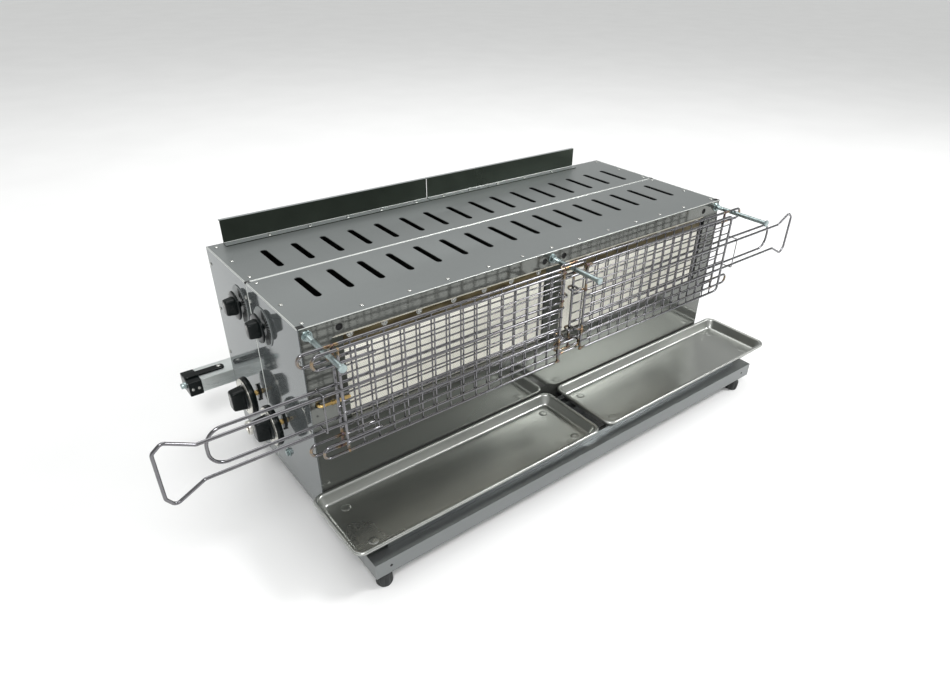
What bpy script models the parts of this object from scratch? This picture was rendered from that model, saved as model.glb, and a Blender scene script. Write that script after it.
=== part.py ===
"""Gas-fired vertical grill with two hinged wire baskets over two drip trays.

Frame: +X along the casing, +Y towards its back, +Z up, origin on the floor under the middle of
the object's box. Most sizes are written in casing coordinates (u, v, w): u runs from the casing's
left side, v back from its front face and w up from its top. place() turns them into the frame.
"""

import math

import bmesh
import bpy
from mathutils import Matrix, Vector

# Casing
CASE_LENGTH = 1.000
CASE_DEPTH = 0.380
MODULE_JOINT = 0.195        # v of the seam between the front and the rear module
MODULE_GAP = 0.0025         # open seam between the two modules
CASE_TOP_HEIGHT = 0.412     # casing top above the floor
SKIN_BOTTOM = -0.358        # w of the side panels' lower edge
FASCIA_BOTTOM = -0.3425
SHEET = 0.0015
GAP = 0.0003                # air left between touching pieces
FLANGE = 0.012

# Where the casing stands in the frame
CASE_LEFT_X = -0.4865
CASE_FRONT_Y = -0.13125

# Vent slots in the two top panels
SLOT_COUNT = 16
SLOT_FIRST = 0.075
SLOT_LAST = 0.938
SLOT_LENGTH = 0.086
SLOT_WIDTH = 0.0125
SLOT_FRONT_ROW = 0.080
SLOT_REAR_ROW = 0.222

# Burner window in the front fascia
WINDOW_LEFT, WINDOW_RIGHT = 0.048, 0.957
WINDOW_TOP, WINDOW_BOTTOM = -0.028, -0.188
WINDOW_CORNER = 0.010
BAYS = {"left": (0.072, 0.488), "right": (0.532, 0.948)}
CERAMIC_TOP, CERAMIC_BOTTOM = -0.054, -0.186
CERAMIC_FRONT, CERAMIC_BACK = 0.008, 0.020

# Rods that the baskets hang on
ROD_W = -0.0135
ROD_U = {"left": 0.013, "centre": 0.497, "right": 0.989}
ROD_TIP = {"left": -0.112, "centre": -0.122, "right": -0.130}
ROD_RADIUS = 0.0045
ROD_HEAD_RADIUS = 0.0068
ROD_NUT_RADIUS = 0.0072
ROD_WASHER_RADIUS = 0.0088

# Baskets
BASKET_LENGTH = 0.448       # hinge pin to outer upright
HALF_SPACING = 0.018        # between the planes of the two halves
WIRE = 0.0026               # radius of the frame wires
UPRIGHT_WIRE = 0.0024       # radius of the outer and inner uprights
MESH_WIRE = 0.0014          # radius of the mesh wires
BASKET_TOP, BASKET_BOTTOM = -0.006, -0.183
LOOP_DROP = 0.0205          # height of a hanging loop between its wires' centres
LOOP_REACH = 0.053          # hanging loop beyond the outer upright
FRONT_LOOP_REACH = 0.040
HANDLE_TOP, HANDLE_BOTTOM = -0.071, -0.129
HANDLE_FLARE = 0.020
HANDLE_GRIP = 0.052         # length of the flared end of a front handle
REAR_HANDLE_REACH = 0.194
RING_HEIGHTS = (-0.058, -0.142)
RING_RADIUS = 0.008
CLIP_WIRE = 0.0012
CLIP_OFFSET = 0.032         # lock clip beyond the outer upright
MESH_UPRIGHTS = 5
BASKETS = {
    # hinge pin u and v, direction of the handle along X, reach of the loops on the centre rod,
    # and the front handle's reach beyond the outer upright
    "left": {"pin_u": 0.472, "pin_v": -0.058, "out": -1, "inner_loop": 0.055, "handle": 0.259},
    "right": {"pin_u": 0.508, "pin_v": -0.048, "out": 1, "inner_loop": 0.036, "handle": 0.252},
}

# Base frame and feet
RAIL_TOP, RAIL_BOTTOM = -0.344, -0.374
RAIL_WALL = 0.002
BASE_LEFT, BASE_RIGHT = 0.002, 0.998
FRONT_RAIL = (-0.168, -0.128)
MID_RAIL = (-0.048, -0.010)
REAR_RAIL = (0.338, 0.376)
SIDE_RAIL_WIDTH = 0.036
FOOT_RADIUS = 0.015
FOOT_INSET = 0.023

# Drip trays, shallow 530 x 162 mm pans on two strips that stand on the rails
TRAY_LENGTH, TRAY_DEPTH, TRAY_HEIGHT = 0.530, 0.162, 0.022
TRAY_RIM = -0.3097
TRAY_BACK = -0.002
TRAY_RESTS = {"front": (-0.146, -0.142), "back": (-0.036, -0.032)}
TRAY_LEFT_U = {"left": -0.024, "right": 0.526}
TRAY_LIP = 0.0055
TRAY_SHEET = 0.0012

# Controls on the left side
DIAL_V = {"front": 0.142, "rear": 0.240}
DIAL_W = -0.057
DIAL_RADIUS = 0.034
TAP_V = {"front": 0.126, "rear": 0.237}
TAP_W = -0.2375
SHAFT_HOLE = 0.0055

# Square rail along the back, standing out on the left
BAR_V = (0.3805, 0.4285)
BAR_W = (-0.290, -0.262)
BAR_U = (-0.063, 0.985)


def place(u, v, w):
    """A point in casing coordinates as a frame position."""
    return Vector((u + CASE_LEFT_X, v + CASE_FRONT_Y, w + CASE_TOP_HEIGHT))


def clear_scene():
    for item in list(bpy.data.objects):
        bpy.data.objects.remove(item, do_unlink=True)


def make_material(name, colour, roughness, metallic):
    material = bpy.data.materials.new(name)
    material.use_nodes = True
    shader = material.node_tree.nodes["Principled BSDF"]
    shader.inputs["Base Color"].default_value = (*colour, 1.0)
    shader.inputs["Roughness"].default_value = roughness
    shader.inputs["Metallic"].default_value = metallic
    material.diffuse_color = (*colour, 1.0)
    return material


def make_palette():
    return {
        "steel": make_material("brushed_steel", (0.47, 0.49, 0.48), 0.35, 1.0),
        "polished": make_material("polished_steel", (0.62, 0.63, 0.61), 0.22, 1.0),
        "dark_steel": make_material("dark_steel", (0.10, 0.11, 0.10), 0.30, 1.0),
        "wire": make_material("chrome_wire", (0.55, 0.56, 0.58), 0.18, 1.0),
        "zinc": make_material("zinc_plate", (0.55, 0.62, 0.62), 0.35, 1.0),
        "ceramic": make_material("burner_ceramic", (0.72, 0.70, 0.62), 0.9, 0.0),
        "heat_tint": make_material("heat_tinted_steel", (0.17, 0.13, 0.06), 0.4, 1.0),
        "gasket": make_material("fibre_gasket", (0.66, 0.63, 0.52), 0.95, 0.0),
        "black": make_material("black_plastic", (0.015, 0.017, 0.017), 0.35, 0.0),
        "brass": make_material("brass", (0.72, 0.48, 0.16), 0.3, 1.0),
        "rubber": make_material("foot_rubber", (0.02, 0.025, 0.025), 0.7, 0.0),
        "nickel": make_material("nickel", (0.72, 0.71, 0.66), 0.3, 1.0),
    }


def finish_object(name, mesh_build, material, origin=None, smooth=False):
    """Make an object from a bmesh in frame coordinates, with its origin where given."""
    centre = Vector(origin) if origin is not None else Vector((0, 0, 0))
    bmesh.ops.transform(mesh_build, matrix=Matrix.Translation(-centre), verts=mesh_build.verts)
    bmesh.ops.recalc_face_normals(mesh_build, faces=mesh_build.faces)
    mesh = bpy.data.meshes.new(name)
    mesh_build.to_mesh(mesh)
    mesh_build.free()
    mesh.materials.append(material)
    if smooth:
        mesh.shade_smooth()
        mesh.set_sharp_from_angle(angle=math.radians(35))
    item = bpy.data.objects.new(name, mesh)
    item.location = centre
    bpy.context.scene.collection.objects.link(item)
    return item


def add_boolean(item, other, operation, self_overlap=False):
    other.hide_render = True
    other.display_type = "WIRE"
    modifier = item.modifiers.new(f"{operation.lower()}_{other.name}", "BOOLEAN")
    modifier.operation = operation
    modifier.solver = "EXACT"
    modifier.use_self = self_overlap
    modifier.object = other


def add_box(mesh_build, low, high):
    """A box between two corners in frame coordinates."""
    size = Vector(high) - Vector(low)
    centre = (Vector(high) + Vector(low)) / 2
    matrix = Matrix.Translation(centre) @ Matrix.Diagonal((*size, 1.0))
    bmesh.ops.create_cube(mesh_build, size=1.0, matrix=matrix)


def box_object(name, u_span, v_span, w_span, material, origin=None):
    mesh_build = bmesh.new()
    add_box(mesh_build, place(u_span[0], v_span[0], w_span[0]), place(u_span[1], v_span[1], w_span[1]))
    return finish_object(name, mesh_build, material, origin)


def add_rings(mesh_build, rings):
    """A closed skin over rings of equal point count, capped at both ends."""
    loops = [[mesh_build.verts.new(point) for point in ring] for ring in rings]
    for first, second in zip(loops, loops[1:]):
        count = len(first)
        for index in range(count):
            following = (index + 1) % count
            mesh_build.faces.new((first[index], first[following], second[following], second[index]))
    mesh_build.faces.new(loops[0][::-1])
    mesh_build.faces.new(loops[-1])


def add_prism(mesh_build, outline, direction):
    """Extrude a flat outline of frame points along a vector."""
    add_rings(mesh_build, [outline, [Vector(point) + Vector(direction) for point in outline]])


def turned_ring(centre, axis, distance, radius, sides, shape="round"):
    """One ring of a turned piece: round, or hexagonal with the same point count."""
    direction = Vector(axis)
    side = Vector((0, 0, 1)) if abs(direction.z) < 0.5 else Vector((0, 1, 0))
    cross = direction.cross(side)
    points = []
    for index in range(sides):
        angle = 2 * math.pi * index / sides
        reach = radius
        if shape == "hex":
            to_flat = (angle + math.pi / 6) % (math.pi / 3) - math.pi / 6
            reach = radius * math.cos(math.pi / 6) / math.cos(to_flat)
        offset = side * math.cos(angle) * reach + cross * math.sin(angle) * reach
        points.append(Vector(centre) + direction * distance + offset)
    return points


def add_turned(mesh_build, centre, axis, profile, sides=24):
    """A turned piece from (distance, radius) or (distance, radius, shape) steps along its axis."""
    add_rings(mesh_build, [turned_ring(centre, axis, step[0], step[1], sides, *step[2:]) for step in profile])


def turned_object(name, centre, axis, profile, material, sides=24, origin=None):
    mesh_build = bmesh.new()
    add_turned(mesh_build, centre, axis, profile, sides)
    return finish_object(name, mesh_build, material, origin or centre, smooth=True)


def rounded_path(points, radius, steps=3, closed=False):
    """A polyline whose corners are replaced by arcs."""
    corners = [Vector(point) for point in points]
    count = len(corners)
    path = []
    for index, corner in enumerate(corners):
        if not closed and index in (0, count - 1):
            path.append(corner)
            continue
        before = (corners[index - 1] - corner).normalized()
        after = (corners[(index + 1) % count] - corner).normalized()
        half_angle = before.angle(after) / 2
        setback = radius / math.tan(half_angle)
        centre = corner + (before + after).normalized() * (radius / math.sin(half_angle))
        start = corner + before * setback - centre
        end = corner + after * setback - centre
        for step in range(steps + 1):
            path.append(centre + start.slerp(end, step / steps).normalized() * radius)
    return path


def add_wire(mesh_build, path, radius, normal, sides=6, closed=False):
    """A round wire along a path that lies in one plane with the given normal."""
    normal = Vector(normal)
    count = len(path)
    rings = []
    for index, point in enumerate(path):
        before = path[index - 1] if closed or index > 0 else None
        after = path[(index + 1) % count] if closed or index < count - 1 else None
        arriving = (point - before).normalized() if before is not None else (after - point).normalized()
        leaving = (after - point).normalized() if after is not None else arriving
        tangent = (arriving + leaving).normalized()
        side = tangent.cross(normal)
        mitre = 1 / max(0.5, tangent.dot(arriving))
        ring = []
        for corner in range(sides):
            angle = 2 * math.pi * (corner + 0.5) / sides
            ring.append(point + normal * radius * math.cos(angle) + side * radius * mitre * math.sin(angle))
        rings.append(ring)
    if not closed:
        add_rings(mesh_build, rings)
        return
    loops = [[mesh_build.verts.new(point) for point in ring] for ring in rings]
    for index, first in enumerate(loops):
        second = loops[(index + 1) % count]
        for corner in range(sides):
            following = (corner + 1) % sides
            mesh_build.faces.new((first[corner], first[following], second[following], second[corner]))


def rounded_rectangle(u_span, v_span, w, radius, steps=3):
    """Points of a level rectangle with round corners."""
    corners = [
        (u_span[1] - radius, v_span[1] - radius, 0),
        (u_span[0] + radius, v_span[1] - radius, 90),
        (u_span[0] + radius, v_span[0] + radius, 180),
        (u_span[1] - radius, v_span[0] + radius, 270),
    ]
    points = []
    for centre_u, centre_v, start in corners:
        for step in range(steps + 1):
            angle = math.radians(start + 90 * step / steps)
            points.append(place(centre_u + radius * math.cos(angle), centre_v + radius * math.sin(angle), w))
    return points


def cut_holes(item, cutter_name, holes, axis, depth=0.02, sides=12):
    """Drill round holes, each (centre, radius), through an object along an axis."""
    mesh_build = bmesh.new()
    for centre, radius in holes:
        add_turned(mesh_build, centre, axis, [(-depth, radius), (depth, radius)], sides)
    cutter = finish_object(cutter_name, mesh_build, item.data.materials[0])
    add_boolean(item, cutter, "DIFFERENCE")


def build_base(palette):
    """Five inverted channels, four levelling feet and the two strips that carry the trays."""
    u_inner = (BASE_LEFT + SIDE_RAIL_WIDTH, BASE_RIGHT - SIDE_RAIL_WIDTH)
    v_inner = (FRONT_RAIL[1] + GAP, REAR_RAIL[0] - GAP)
    rails = {
        "base_front_rail": ((BASE_LEFT, BASE_RIGHT), FRONT_RAIL),
        "base_rear_rail": ((BASE_LEFT, BASE_RIGHT), REAR_RAIL),
        "base_mid_rail": ((u_inner[0] + GAP, u_inner[1] - GAP), MID_RAIL),
        "base_left_rail": ((BASE_LEFT, u_inner[0]), v_inner),
        "base_right_rail": ((u_inner[1], BASE_RIGHT), v_inner),
    }
    for name, (u_span, v_span) in rails.items():
        rail = box_object(name, u_span, v_span, (RAIL_BOTTOM, RAIL_TOP), palette["steel"])
        hollow_u = (u_span[0] + RAIL_WALL, u_span[1] - RAIL_WALL)
        hollow_v = (v_span[0] + RAIL_WALL, v_span[1] - RAIL_WALL)
        hollow_w = (RAIL_BOTTOM - RAIL_WALL, RAIL_TOP - RAIL_WALL)
        cutter = box_object(f"{name}_hollow", hollow_u, hollow_v, hollow_w, palette["steel"])
        add_boolean(rail, cutter, "DIFFERENCE")
    for depth_name, v_span in (("front", FRONT_RAIL), ("rear", REAR_RAIL)):
        for side_name, u in (("left", BASE_LEFT + FOOT_INSET), ("right", BASE_RIGHT - FOOT_INSET)):
            build_foot(f"foot_{depth_name}_{side_name}", u, sum(v_span) / 2, palette)
    rest_w = (RAIL_TOP + GAP, TRAY_RIM - TRAY_HEIGHT - GAP)
    for name, v_span in TRAY_RESTS.items():
        box_object(f"tray_rest_{name}", (u_inner[0] + GAP, u_inner[1] - GAP), v_span, rest_w, palette["steel"])


def build_foot(name, u, v, palette):
    """A lobed foot on a stud that reaches up into its channel."""
    ground = -CASE_TOP_HEIGHT
    centre = place(u, v, ground)
    stud_top = RAIL_TOP - RAIL_WALL - GAP - ground
    profile = [(0, 0.013), (0.003, FOOT_RADIUS), (0.020, FOOT_RADIUS - 0.001), (0.026, 0.010)]
    profile += [(0.026, 0.005), (stud_top, 0.005)]
    sides = 16
    rings = [turned_ring(centre, (0, 0, 1), height, radius, sides) for height, radius in profile]
    for ring in rings[1:3]:
        for index in range(0, sides, 2):
            ring[index] = ring[index].lerp(Vector((centre.x, centre.y, ring[index].z)), 0.10)
    mesh_build = bmesh.new()
    add_rings(mesh_build, rings)
    finish_object(name, mesh_build, palette["rubber"], centre, smooth=True)


def build_side_panels(palette):
    """Two plain sheets on each side, one for each module, drilled for the controls' shafts."""
    half_gap = MODULE_GAP / 2
    modules = {"front": (0.0, MODULE_JOINT - half_gap), "rear": (MODULE_JOINT + half_gap, CASE_DEPTH)}
    for module, v_span in modules.items():
        left = box_object(f"side_panel_{module}_left", (0, SHEET), v_span, (SKIN_BOTTOM, 0), palette["steel"])
        shafts = [(DIAL_V[module], DIAL_W), (TAP_V[module], TAP_W)]
        holes = [(place(0, v, w), SHAFT_HOLE) for v, w in shafts]
        cut_holes(left, f"shaft_holes_{module}", holes, (1, 0, 0))
        right_span = (CASE_LENGTH - SHEET, CASE_LENGTH)
        box_object(f"side_panel_{module}_right", right_span, v_span, (SKIN_BOTTOM, 0), palette["steel"])


def build_top_panel(name, v_span, slot_start, palette):
    """A top sheet with a row of round-ended vent slots."""
    u_span = (SHEET + GAP, CASE_LENGTH - SHEET - GAP)
    panel = box_object(name, u_span, v_span, (-SHEET, 0), palette["steel"])
    mesh_build = bmesh.new()
    for index in range(SLOT_COUNT):
        u = SLOT_FIRST + (SLOT_LAST - SLOT_FIRST) * index / (SLOT_COUNT - 1)
        slot_u = (u - SLOT_WIDTH / 2, u + SLOT_WIDTH / 2)
        slot_v = (slot_start, slot_start + SLOT_LENGTH)
        outline = rounded_rectangle(slot_u, slot_v, -3 * SHEET, SLOT_WIDTH / 2 - 0.0001, steps=2)
        add_prism(mesh_build, outline, (0, 0, 5 * SHEET))
    cutter = finish_object(f"{name}_slots", mesh_build, palette["steel"])
    add_boolean(panel, cutter, "DIFFERENCE")


def build_flanged_wall(name, v, direction, bottom, palette):
    """An upright sheet across the casing with a top flange turned in under the top panel."""
    top = -SHEET - 2 * GAP
    outline = [
        (v, bottom),
        (v, top),
        (v + direction * FLANGE, top),
        (v + direction * FLANGE, top - SHEET),
        (v + direction * SHEET, top - SHEET),
        (v + direction * SHEET, bottom),
    ]
    start = SHEET + GAP
    mesh_build = bmesh.new()
    add_prism(mesh_build, [place(start, *point) for point in outline], (CASE_LENGTH - 2 * start, 0, 0))
    return finish_object(name, mesh_build, palette["steel"])


def build_front_fascia(palette):
    """The front sheet with its burner window and the holes for rods, bolts and the pilot tube."""
    fascia = build_flanged_wall("front_fascia", 0.0, 1, FASCIA_BOTTOM, palette)
    corners = [
        place(WINDOW_LEFT, -0.02, WINDOW_BOTTOM),
        place(WINDOW_RIGHT, -0.02, WINDOW_BOTTOM),
        place(WINDOW_RIGHT, -0.02, WINDOW_TOP),
        place(WINDOW_LEFT, -0.02, WINDOW_TOP),
    ]
    mesh_build = bmesh.new()
    add_prism(mesh_build, rounded_path(corners, WINDOW_CORNER, closed=True), (0, 0.04, 0))
    window = finish_object("window_cutter", mesh_build, palette["steel"])
    add_boolean(fascia, window, "DIFFERENCE")
    holes = [(place(u, 0, ROD_W), ROD_RADIUS + 0.001) for u in ROD_U.values()]
    holes += [(place(u, 0, -0.0155), 0.0062) for u in (0.065, 0.479, 0.527, 0.947)]
    holes.append((place(0.014, 0, -0.138), 0.0045))
    cut_holes(fascia, "fascia_holes", holes, (0, 1, 0), depth=0.008)


def build_casing(palette):
    build_side_panels(palette)
    front_end, rear_start = MODULE_JOINT - MODULE_GAP / 2, MODULE_JOINT + MODULE_GAP / 2
    build_top_panel("top_panel_front", (0.001, front_end), SLOT_FRONT_ROW, palette)
    build_top_panel("top_panel_rear", (rear_start + 0.0005, CASE_DEPTH - GAP), SLOT_REAR_ROW, palette)
    build_front_fascia(palette)
    build_flanged_wall("module_wall", rear_start, 1, FASCIA_BOTTOM, palette)
    build_flanged_wall("rear_fascia", CASE_DEPTH, -1, RAIL_TOP + GAP, palette)
    build_rear_upstands(palette)


def build_rear_upstands(palette):
    """Two folded strips standing on the rear edge of the top."""
    foot_front, web, lip_back = 0.358, 0.372, 0.379
    low, height = GAP, 0.045
    outline = [
        (foot_front, low),
        (web + SHEET, low),
        (web + SHEET, height - SHEET),
        (lip_back, height - SHEET),
        (lip_back, height),
        (web, height),
        (web, low + SHEET),
        (foot_front, low + SHEET),
    ]
    for side, u_span in {"left": (0.030, 0.4695), "right": (0.4715, 0.904)}.items():
        mesh_build = bmesh.new()
        points = [place(u_span[0], *point) for point in outline]
        add_prism(mesh_build, points, (u_span[1] - u_span[0], 0, 0))
        finish_object(f"rear_upstand_{side}", mesh_build, palette["dark_steel"])


def build_burners(palette):
    """Ceramic plates in open boxes, with the strips and brackets seen through the window."""
    box_depth = 0.055
    for side, (start, end) in BAYS.items():
        plate_v = (CERAMIC_FRONT, CERAMIC_BACK)
        plate_w = (CERAMIC_BOTTOM, CERAMIC_TOP)
        box_object(f"burner_plate_{side}", (start, end), plate_v, plate_w, palette["ceramic"])
        box_u = (start - 0.006, end + 0.006)
        box_v = (CERAMIC_BACK + GAP, CERAMIC_BACK + GAP + box_depth)
        box_w = (CERAMIC_BOTTOM - 0.006, CERAMIC_TOP + 0.020)
        burner = box_object(f"burner_box_{side}", box_u, box_v, box_w, palette["dark_steel"])
        hollow_u = (box_u[0] + SHEET, box_u[1] - SHEET)
        hollow_v = (box_v[0] - 0.01, box_v[1] - SHEET)
        hollow_w = (box_w[0] + SHEET, box_w[1] - SHEET)
        hollow = box_object(f"burner_box_{side}_hollow", hollow_u, hollow_v, hollow_w, palette["steel"])
        add_boolean(burner, hollow, "DIFFERENCE")
        box_object(f"heat_strip_{side}", (start, end), (0.0046, 0.0060), (-0.053, -0.031), palette["heat_tint"])
    gasket_u = (WINDOW_LEFT + 0.004, WINDOW_RIGHT - 0.004)
    box_object("window_gasket", gasket_u, (0.0018, 0.0042), (-0.0305, -0.0245), palette["gasket"])
    bracket_v, bracket_w = (0.0046, 0.0060), (-0.190, -0.031)
    divider_u = (BAYS["left"][1] + 0.001, BAYS["right"][0] - 0.001)
    box_object("burner_divider", divider_u, bracket_v, bracket_w, palette["dark_steel"])
    bracket_u = (0.030, BAYS["left"][0] - 0.001)
    box_object("burner_side_bracket", bracket_u, bracket_v, bracket_w, palette["dark_steel"])


def build_pilot_tube(palette):
    """A brass tube that comes through the fascia and runs along its face to the first burner."""
    w = -0.138
    corners = [place(0.014, 0.012, w), place(0.014, -0.007, w), place(0.066, -0.007, w)]
    mesh_build = bmesh.new()
    add_wire(mesh_build, rounded_path(corners, 0.006), 0.003, (0, 0, 1), sides=10)
    finish_object("pilot_tube", mesh_build, palette["brass"], smooth=True)


def build_rods(palette):
    """Zinc rods with a washer and nut at the fascia and a hexagon head at the tip."""
    for side, u in ROD_U.items():
        reach = -ROD_TIP[side]
        profile = [
            (-0.012, ROD_RADIUS),
            (GAP, ROD_RADIUS),
            (GAP, ROD_WASHER_RADIUS),
            (0.0018, ROD_WASHER_RADIUS),
            (0.0018, ROD_NUT_RADIUS, "hex"),
            (0.0068, ROD_NUT_RADIUS, "hex"),
            (0.0068, ROD_RADIUS),
            (reach - 0.004, ROD_RADIUS),
            (reach - 0.004, ROD_HEAD_RADIUS, "hex"),
            (reach, ROD_HEAD_RADIUS, "hex"),
        ]
        turned_object(f"hang_rod_{side}", place(u, 0, ROD_W), (0, -1, 0), profile, palette["zinc"], sides=12)


def build_back_bar(palette):
    """A rectangular tube along the back, with a black end block, tongue and stub on the left."""
    wall = 0.002
    bar = box_object("back_bar", BAR_U, BAR_V, BAR_W, palette["steel"])
    hollow_v = (BAR_V[0] + wall, BAR_V[1] - wall)
    hollow_w = (BAR_W[0] + wall, BAR_W[1] - wall)
    hollow = box_object("back_bar_hollow", (BAR_U[0] - 0.01, BAR_U[1] + 0.01), hollow_v, hollow_w, palette["steel"])
    add_boolean(bar, hollow, "DIFFERENCE")
    block_end = BAR_U[0] - 0.026
    block_v, block_w = (BAR_V[0] - 0.002, BAR_V[1] + 0.002), (BAR_W[0] - 0.0025, BAR_W[1])
    box_object("bar_end_block", (block_end, BAR_U[0] - GAP), block_v, block_w, palette["black"])
    tongue_v = (0.397, 0.413)
    outline = rounded_rectangle((block_end, -0.010), tongue_v, BAR_W[1] + GAP, 0.007)
    mesh_build = bmesh.new()
    add_prism(mesh_build, outline, (0, 0, 0.003))
    finish_object("bar_tongue", mesh_build, palette["black"])
    centre = place(block_end - GAP, 0.396, -0.273)
    turned_object("bar_end_stub", centre, (-1, 0, 0), [(0, 0.007), (0.008, 0.007), (0.010, 0.005)], palette["zinc"])


def build_dials(palette):
    """Round scale plates and small knobs of the two upper controls."""
    for module, v in DIAL_V.items():
        centre = place(0, v, DIAL_W)
        plate = [(GAP, DIAL_RADIUS), (0.0018, DIAL_RADIUS), (0.0018, SHAFT_HOLE), (GAP, SHAFT_HOLE)]
        add_ring_object(f"dial_plate_{module}", centre, plate, palette["polished"])
        profile = [(-0.010, 0.004), (0.0085, 0.004), (0.0085, 0.0255), (0.0120, 0.0250)]
        build_knob(f"dial_knob_{module}", centre, profile, (0.018, 0.028, 0.016), palette)


def build_taps(palette):
    """Gas taps: diamond plate, brass stem, skirted knob and the knob's bright face ring."""
    for module, v in TAP_V.items():
        centre = place(0, v, TAP_W)
        build_tap_plate(f"tap_plate_{module}", centre, palette)
        stem = [(-0.012, 0.0035), (0.0157, 0.0035)]
        turned_object(f"tap_stem_{module}", centre, (-1, 0, 0), stem, palette["brass"], sides=12)
        profile = [(0.016, 0.036), (0.018, 0.037), (0.026, 0.037), (0.027, 0.0365)]
        build_knob(f"tap_knob_{module}", centre, profile, (0.022, 0.040, 0.026), palette)
        face = [(0.0273, 0.0355), (0.0283, 0.0355), (0.0283, 0.0235), (0.0273, 0.0235)]
        add_ring_object(f"tap_knob_face_{module}", centre, face, palette["nickel"])


def add_ring_object(name, centre, profile, material, sides=32):
    """A flat ring round an axis along -X, from its four profile corners."""
    mesh_build = bmesh.new()
    rings = [turned_ring(centre, (-1, 0, 0), distance, radius, sides) for distance, radius in profile]
    loops = [[mesh_build.verts.new(point) for point in ring] for ring in rings]
    for index, first in enumerate(loops):
        second = loops[(index + 1) % len(loops)]
        for corner in range(sides):
            following = (corner + 1) % sides
            mesh_build.faces.new((first[corner], first[following], second[following], second[corner]))
    return finish_object(name, mesh_build, material, centre, smooth=True)


def build_knob(name, centre, profile, grip, palette):
    """A turned flange with a block grip (width along Y, height along Z, length along X)."""
    knob = turned_object(name, centre, (-1, 0, 0), profile, palette["black"])
    width, height, length = grip
    base = profile[-1][0]
    bevel = 0.004
    outline = [
        Vector((-base + 0.001, y, z)) + centre
        for y, z in (
            (-width / 2, -height / 2 + bevel),
            (-width / 2 + bevel, -height / 2),
            (width / 2 - bevel, -height / 2),
            (width / 2, -height / 2 + bevel),
            (width / 2, height / 2 - bevel),
            (width / 2 - bevel, height / 2),
            (-width / 2 + bevel, height / 2),
            (-width / 2, height / 2 - bevel),
        )
    ]
    tip = centre + Vector((-base - length, 0, 0))
    shoulder = [point + Vector((-length - 0.001 + 0.003, 0, 0)) for point in outline]
    end = [tip + (point + Vector((-length - 0.001, 0, 0)) - tip) * 0.86 for point in outline]
    mesh_build = bmesh.new()
    add_rings(mesh_build, [outline, shoulder, end])
    block = finish_object(f"{name}_grip", mesh_build, palette["black"], centre)
    add_boolean(knob, block, "UNION")


def build_tap_plate(name, centre, palette):
    """A diamond plate on the panel with a hole for the stem."""
    outline = [centre + Vector((-GAP, y, z)) for y, z in ((0.008, 0), (0, 0.022), (-0.008, 0), (0, -0.022))]
    mesh_build = bmesh.new()
    add_prism(mesh_build, outline, (-0.003, 0, 0))
    plate = finish_object(name, mesh_build, palette["black"], centre)
    cut_holes(plate, f"{name}_hole", [(centre, 0.0042)], (1, 0, 0))


def build_inlet_fitting(palette):
    """A round fitting low on the rear side panel with a square recess in its end."""
    centre = place(-GAP, 0.262, -0.325)
    profile = [(0, 0.009), (0.016, 0.009), (0.018, 0.014), (0.027, 0.014), (0.028, 0.013)]
    fitting = turned_object("inlet_fitting", centre, (-1, 0, 0), profile, palette["nickel"], sides=20)
    mesh_build = bmesh.new()
    half = 0.0065
    add_box(mesh_build, centre + Vector((-0.040, -half, -half)), centre + Vector((-0.022, half, half)))
    cutter = finish_object("inlet_recess", mesh_build, palette["nickel"])
    add_boolean(fitting, cutter, "DIFFERENCE")


def tray_outline(inset, w, left, corner):
    """One level ring of a tray, inset from its rim."""
    u_span = (left + inset, left + TRAY_LENGTH - inset)
    v_span = (TRAY_BACK - TRAY_DEPTH + inset, TRAY_BACK - inset)
    return rounded_rectangle(u_span, v_span, w, corner)


def build_tray(side, palette):
    """A pan with a turned-down rim and sloping walls."""
    left = TRAY_LEFT_U[side]
    rim = TRAY_RIM
    floor = rim - TRAY_HEIGHT
    sheet = TRAY_SHEET
    steps = [
        # inset from the rim, height, corner radius: inside from the floor up, then back down outside
        (0.0125, floor + sheet, 0.012),
        (0.0105, floor + 0.004, 0.013),
        (TRAY_LIP, rim, 0.015),
        (0.0, rim, 0.018),
        (0.0, rim - 0.005, 0.018),
        (sheet, rim - 0.005, 0.017),
        (sheet, rim - sheet, 0.017),
        (TRAY_LIP - sheet, rim - sheet, 0.016),
        (0.0105 - sheet, floor + 0.0035, 0.014),
        (0.0125 - sheet / 2, floor, 0.0125),
    ]
    mesh_build = bmesh.new()
    add_rings(mesh_build, [tray_outline(inset, w, left, corner) for inset, w, corner in steps])
    middle = place(left + TRAY_LENGTH / 2, TRAY_BACK - TRAY_DEPTH / 2, rim)
    finish_object(f"drip_tray_{side}", mesh_build, palette["polished"], middle)


def basket_point(basket, along, v, w):
    """A point at a distance from the hinge pin towards the handle."""
    return place(basket["pin_u"] + basket["out"] * along, v, w)


def add_basket_wire(mesh_build, basket, v, route, bend=0.006, radius=WIRE, sides=6):
    """A wire in the plane v of a basket half, through (distance from pin, w) points."""
    points = [basket_point(basket, along, v, w) for along, w in route]
    path = rounded_path(points, bend) if bend else points
    add_wire(mesh_build, path, radius, (0, 1, 0), sides)


def add_basket_mesh(mesh_build, basket, v, first, top, bottom):
    """The thin uprights and cross wires between a half's frame wires."""
    pitch = (BASKET_LENGTH - first) / (MESH_UPRIGHTS + 1)
    for index in range(MESH_UPRIGHTS):
        along = first + pitch * (index + 1)
        route = [(along, top), (along, bottom)]
        add_basket_wire(mesh_build, basket, v + 0.0005, route, bend=0, radius=MESH_WIRE, sides=4)
    for w in (-0.040, -0.100, -0.158):
        route = [(first, w), (BASKET_LENGTH, w)]
        add_basket_wire(mesh_build, basket, v - 0.0004, route, bend=0, radius=MESH_WIRE, sides=4)


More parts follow.
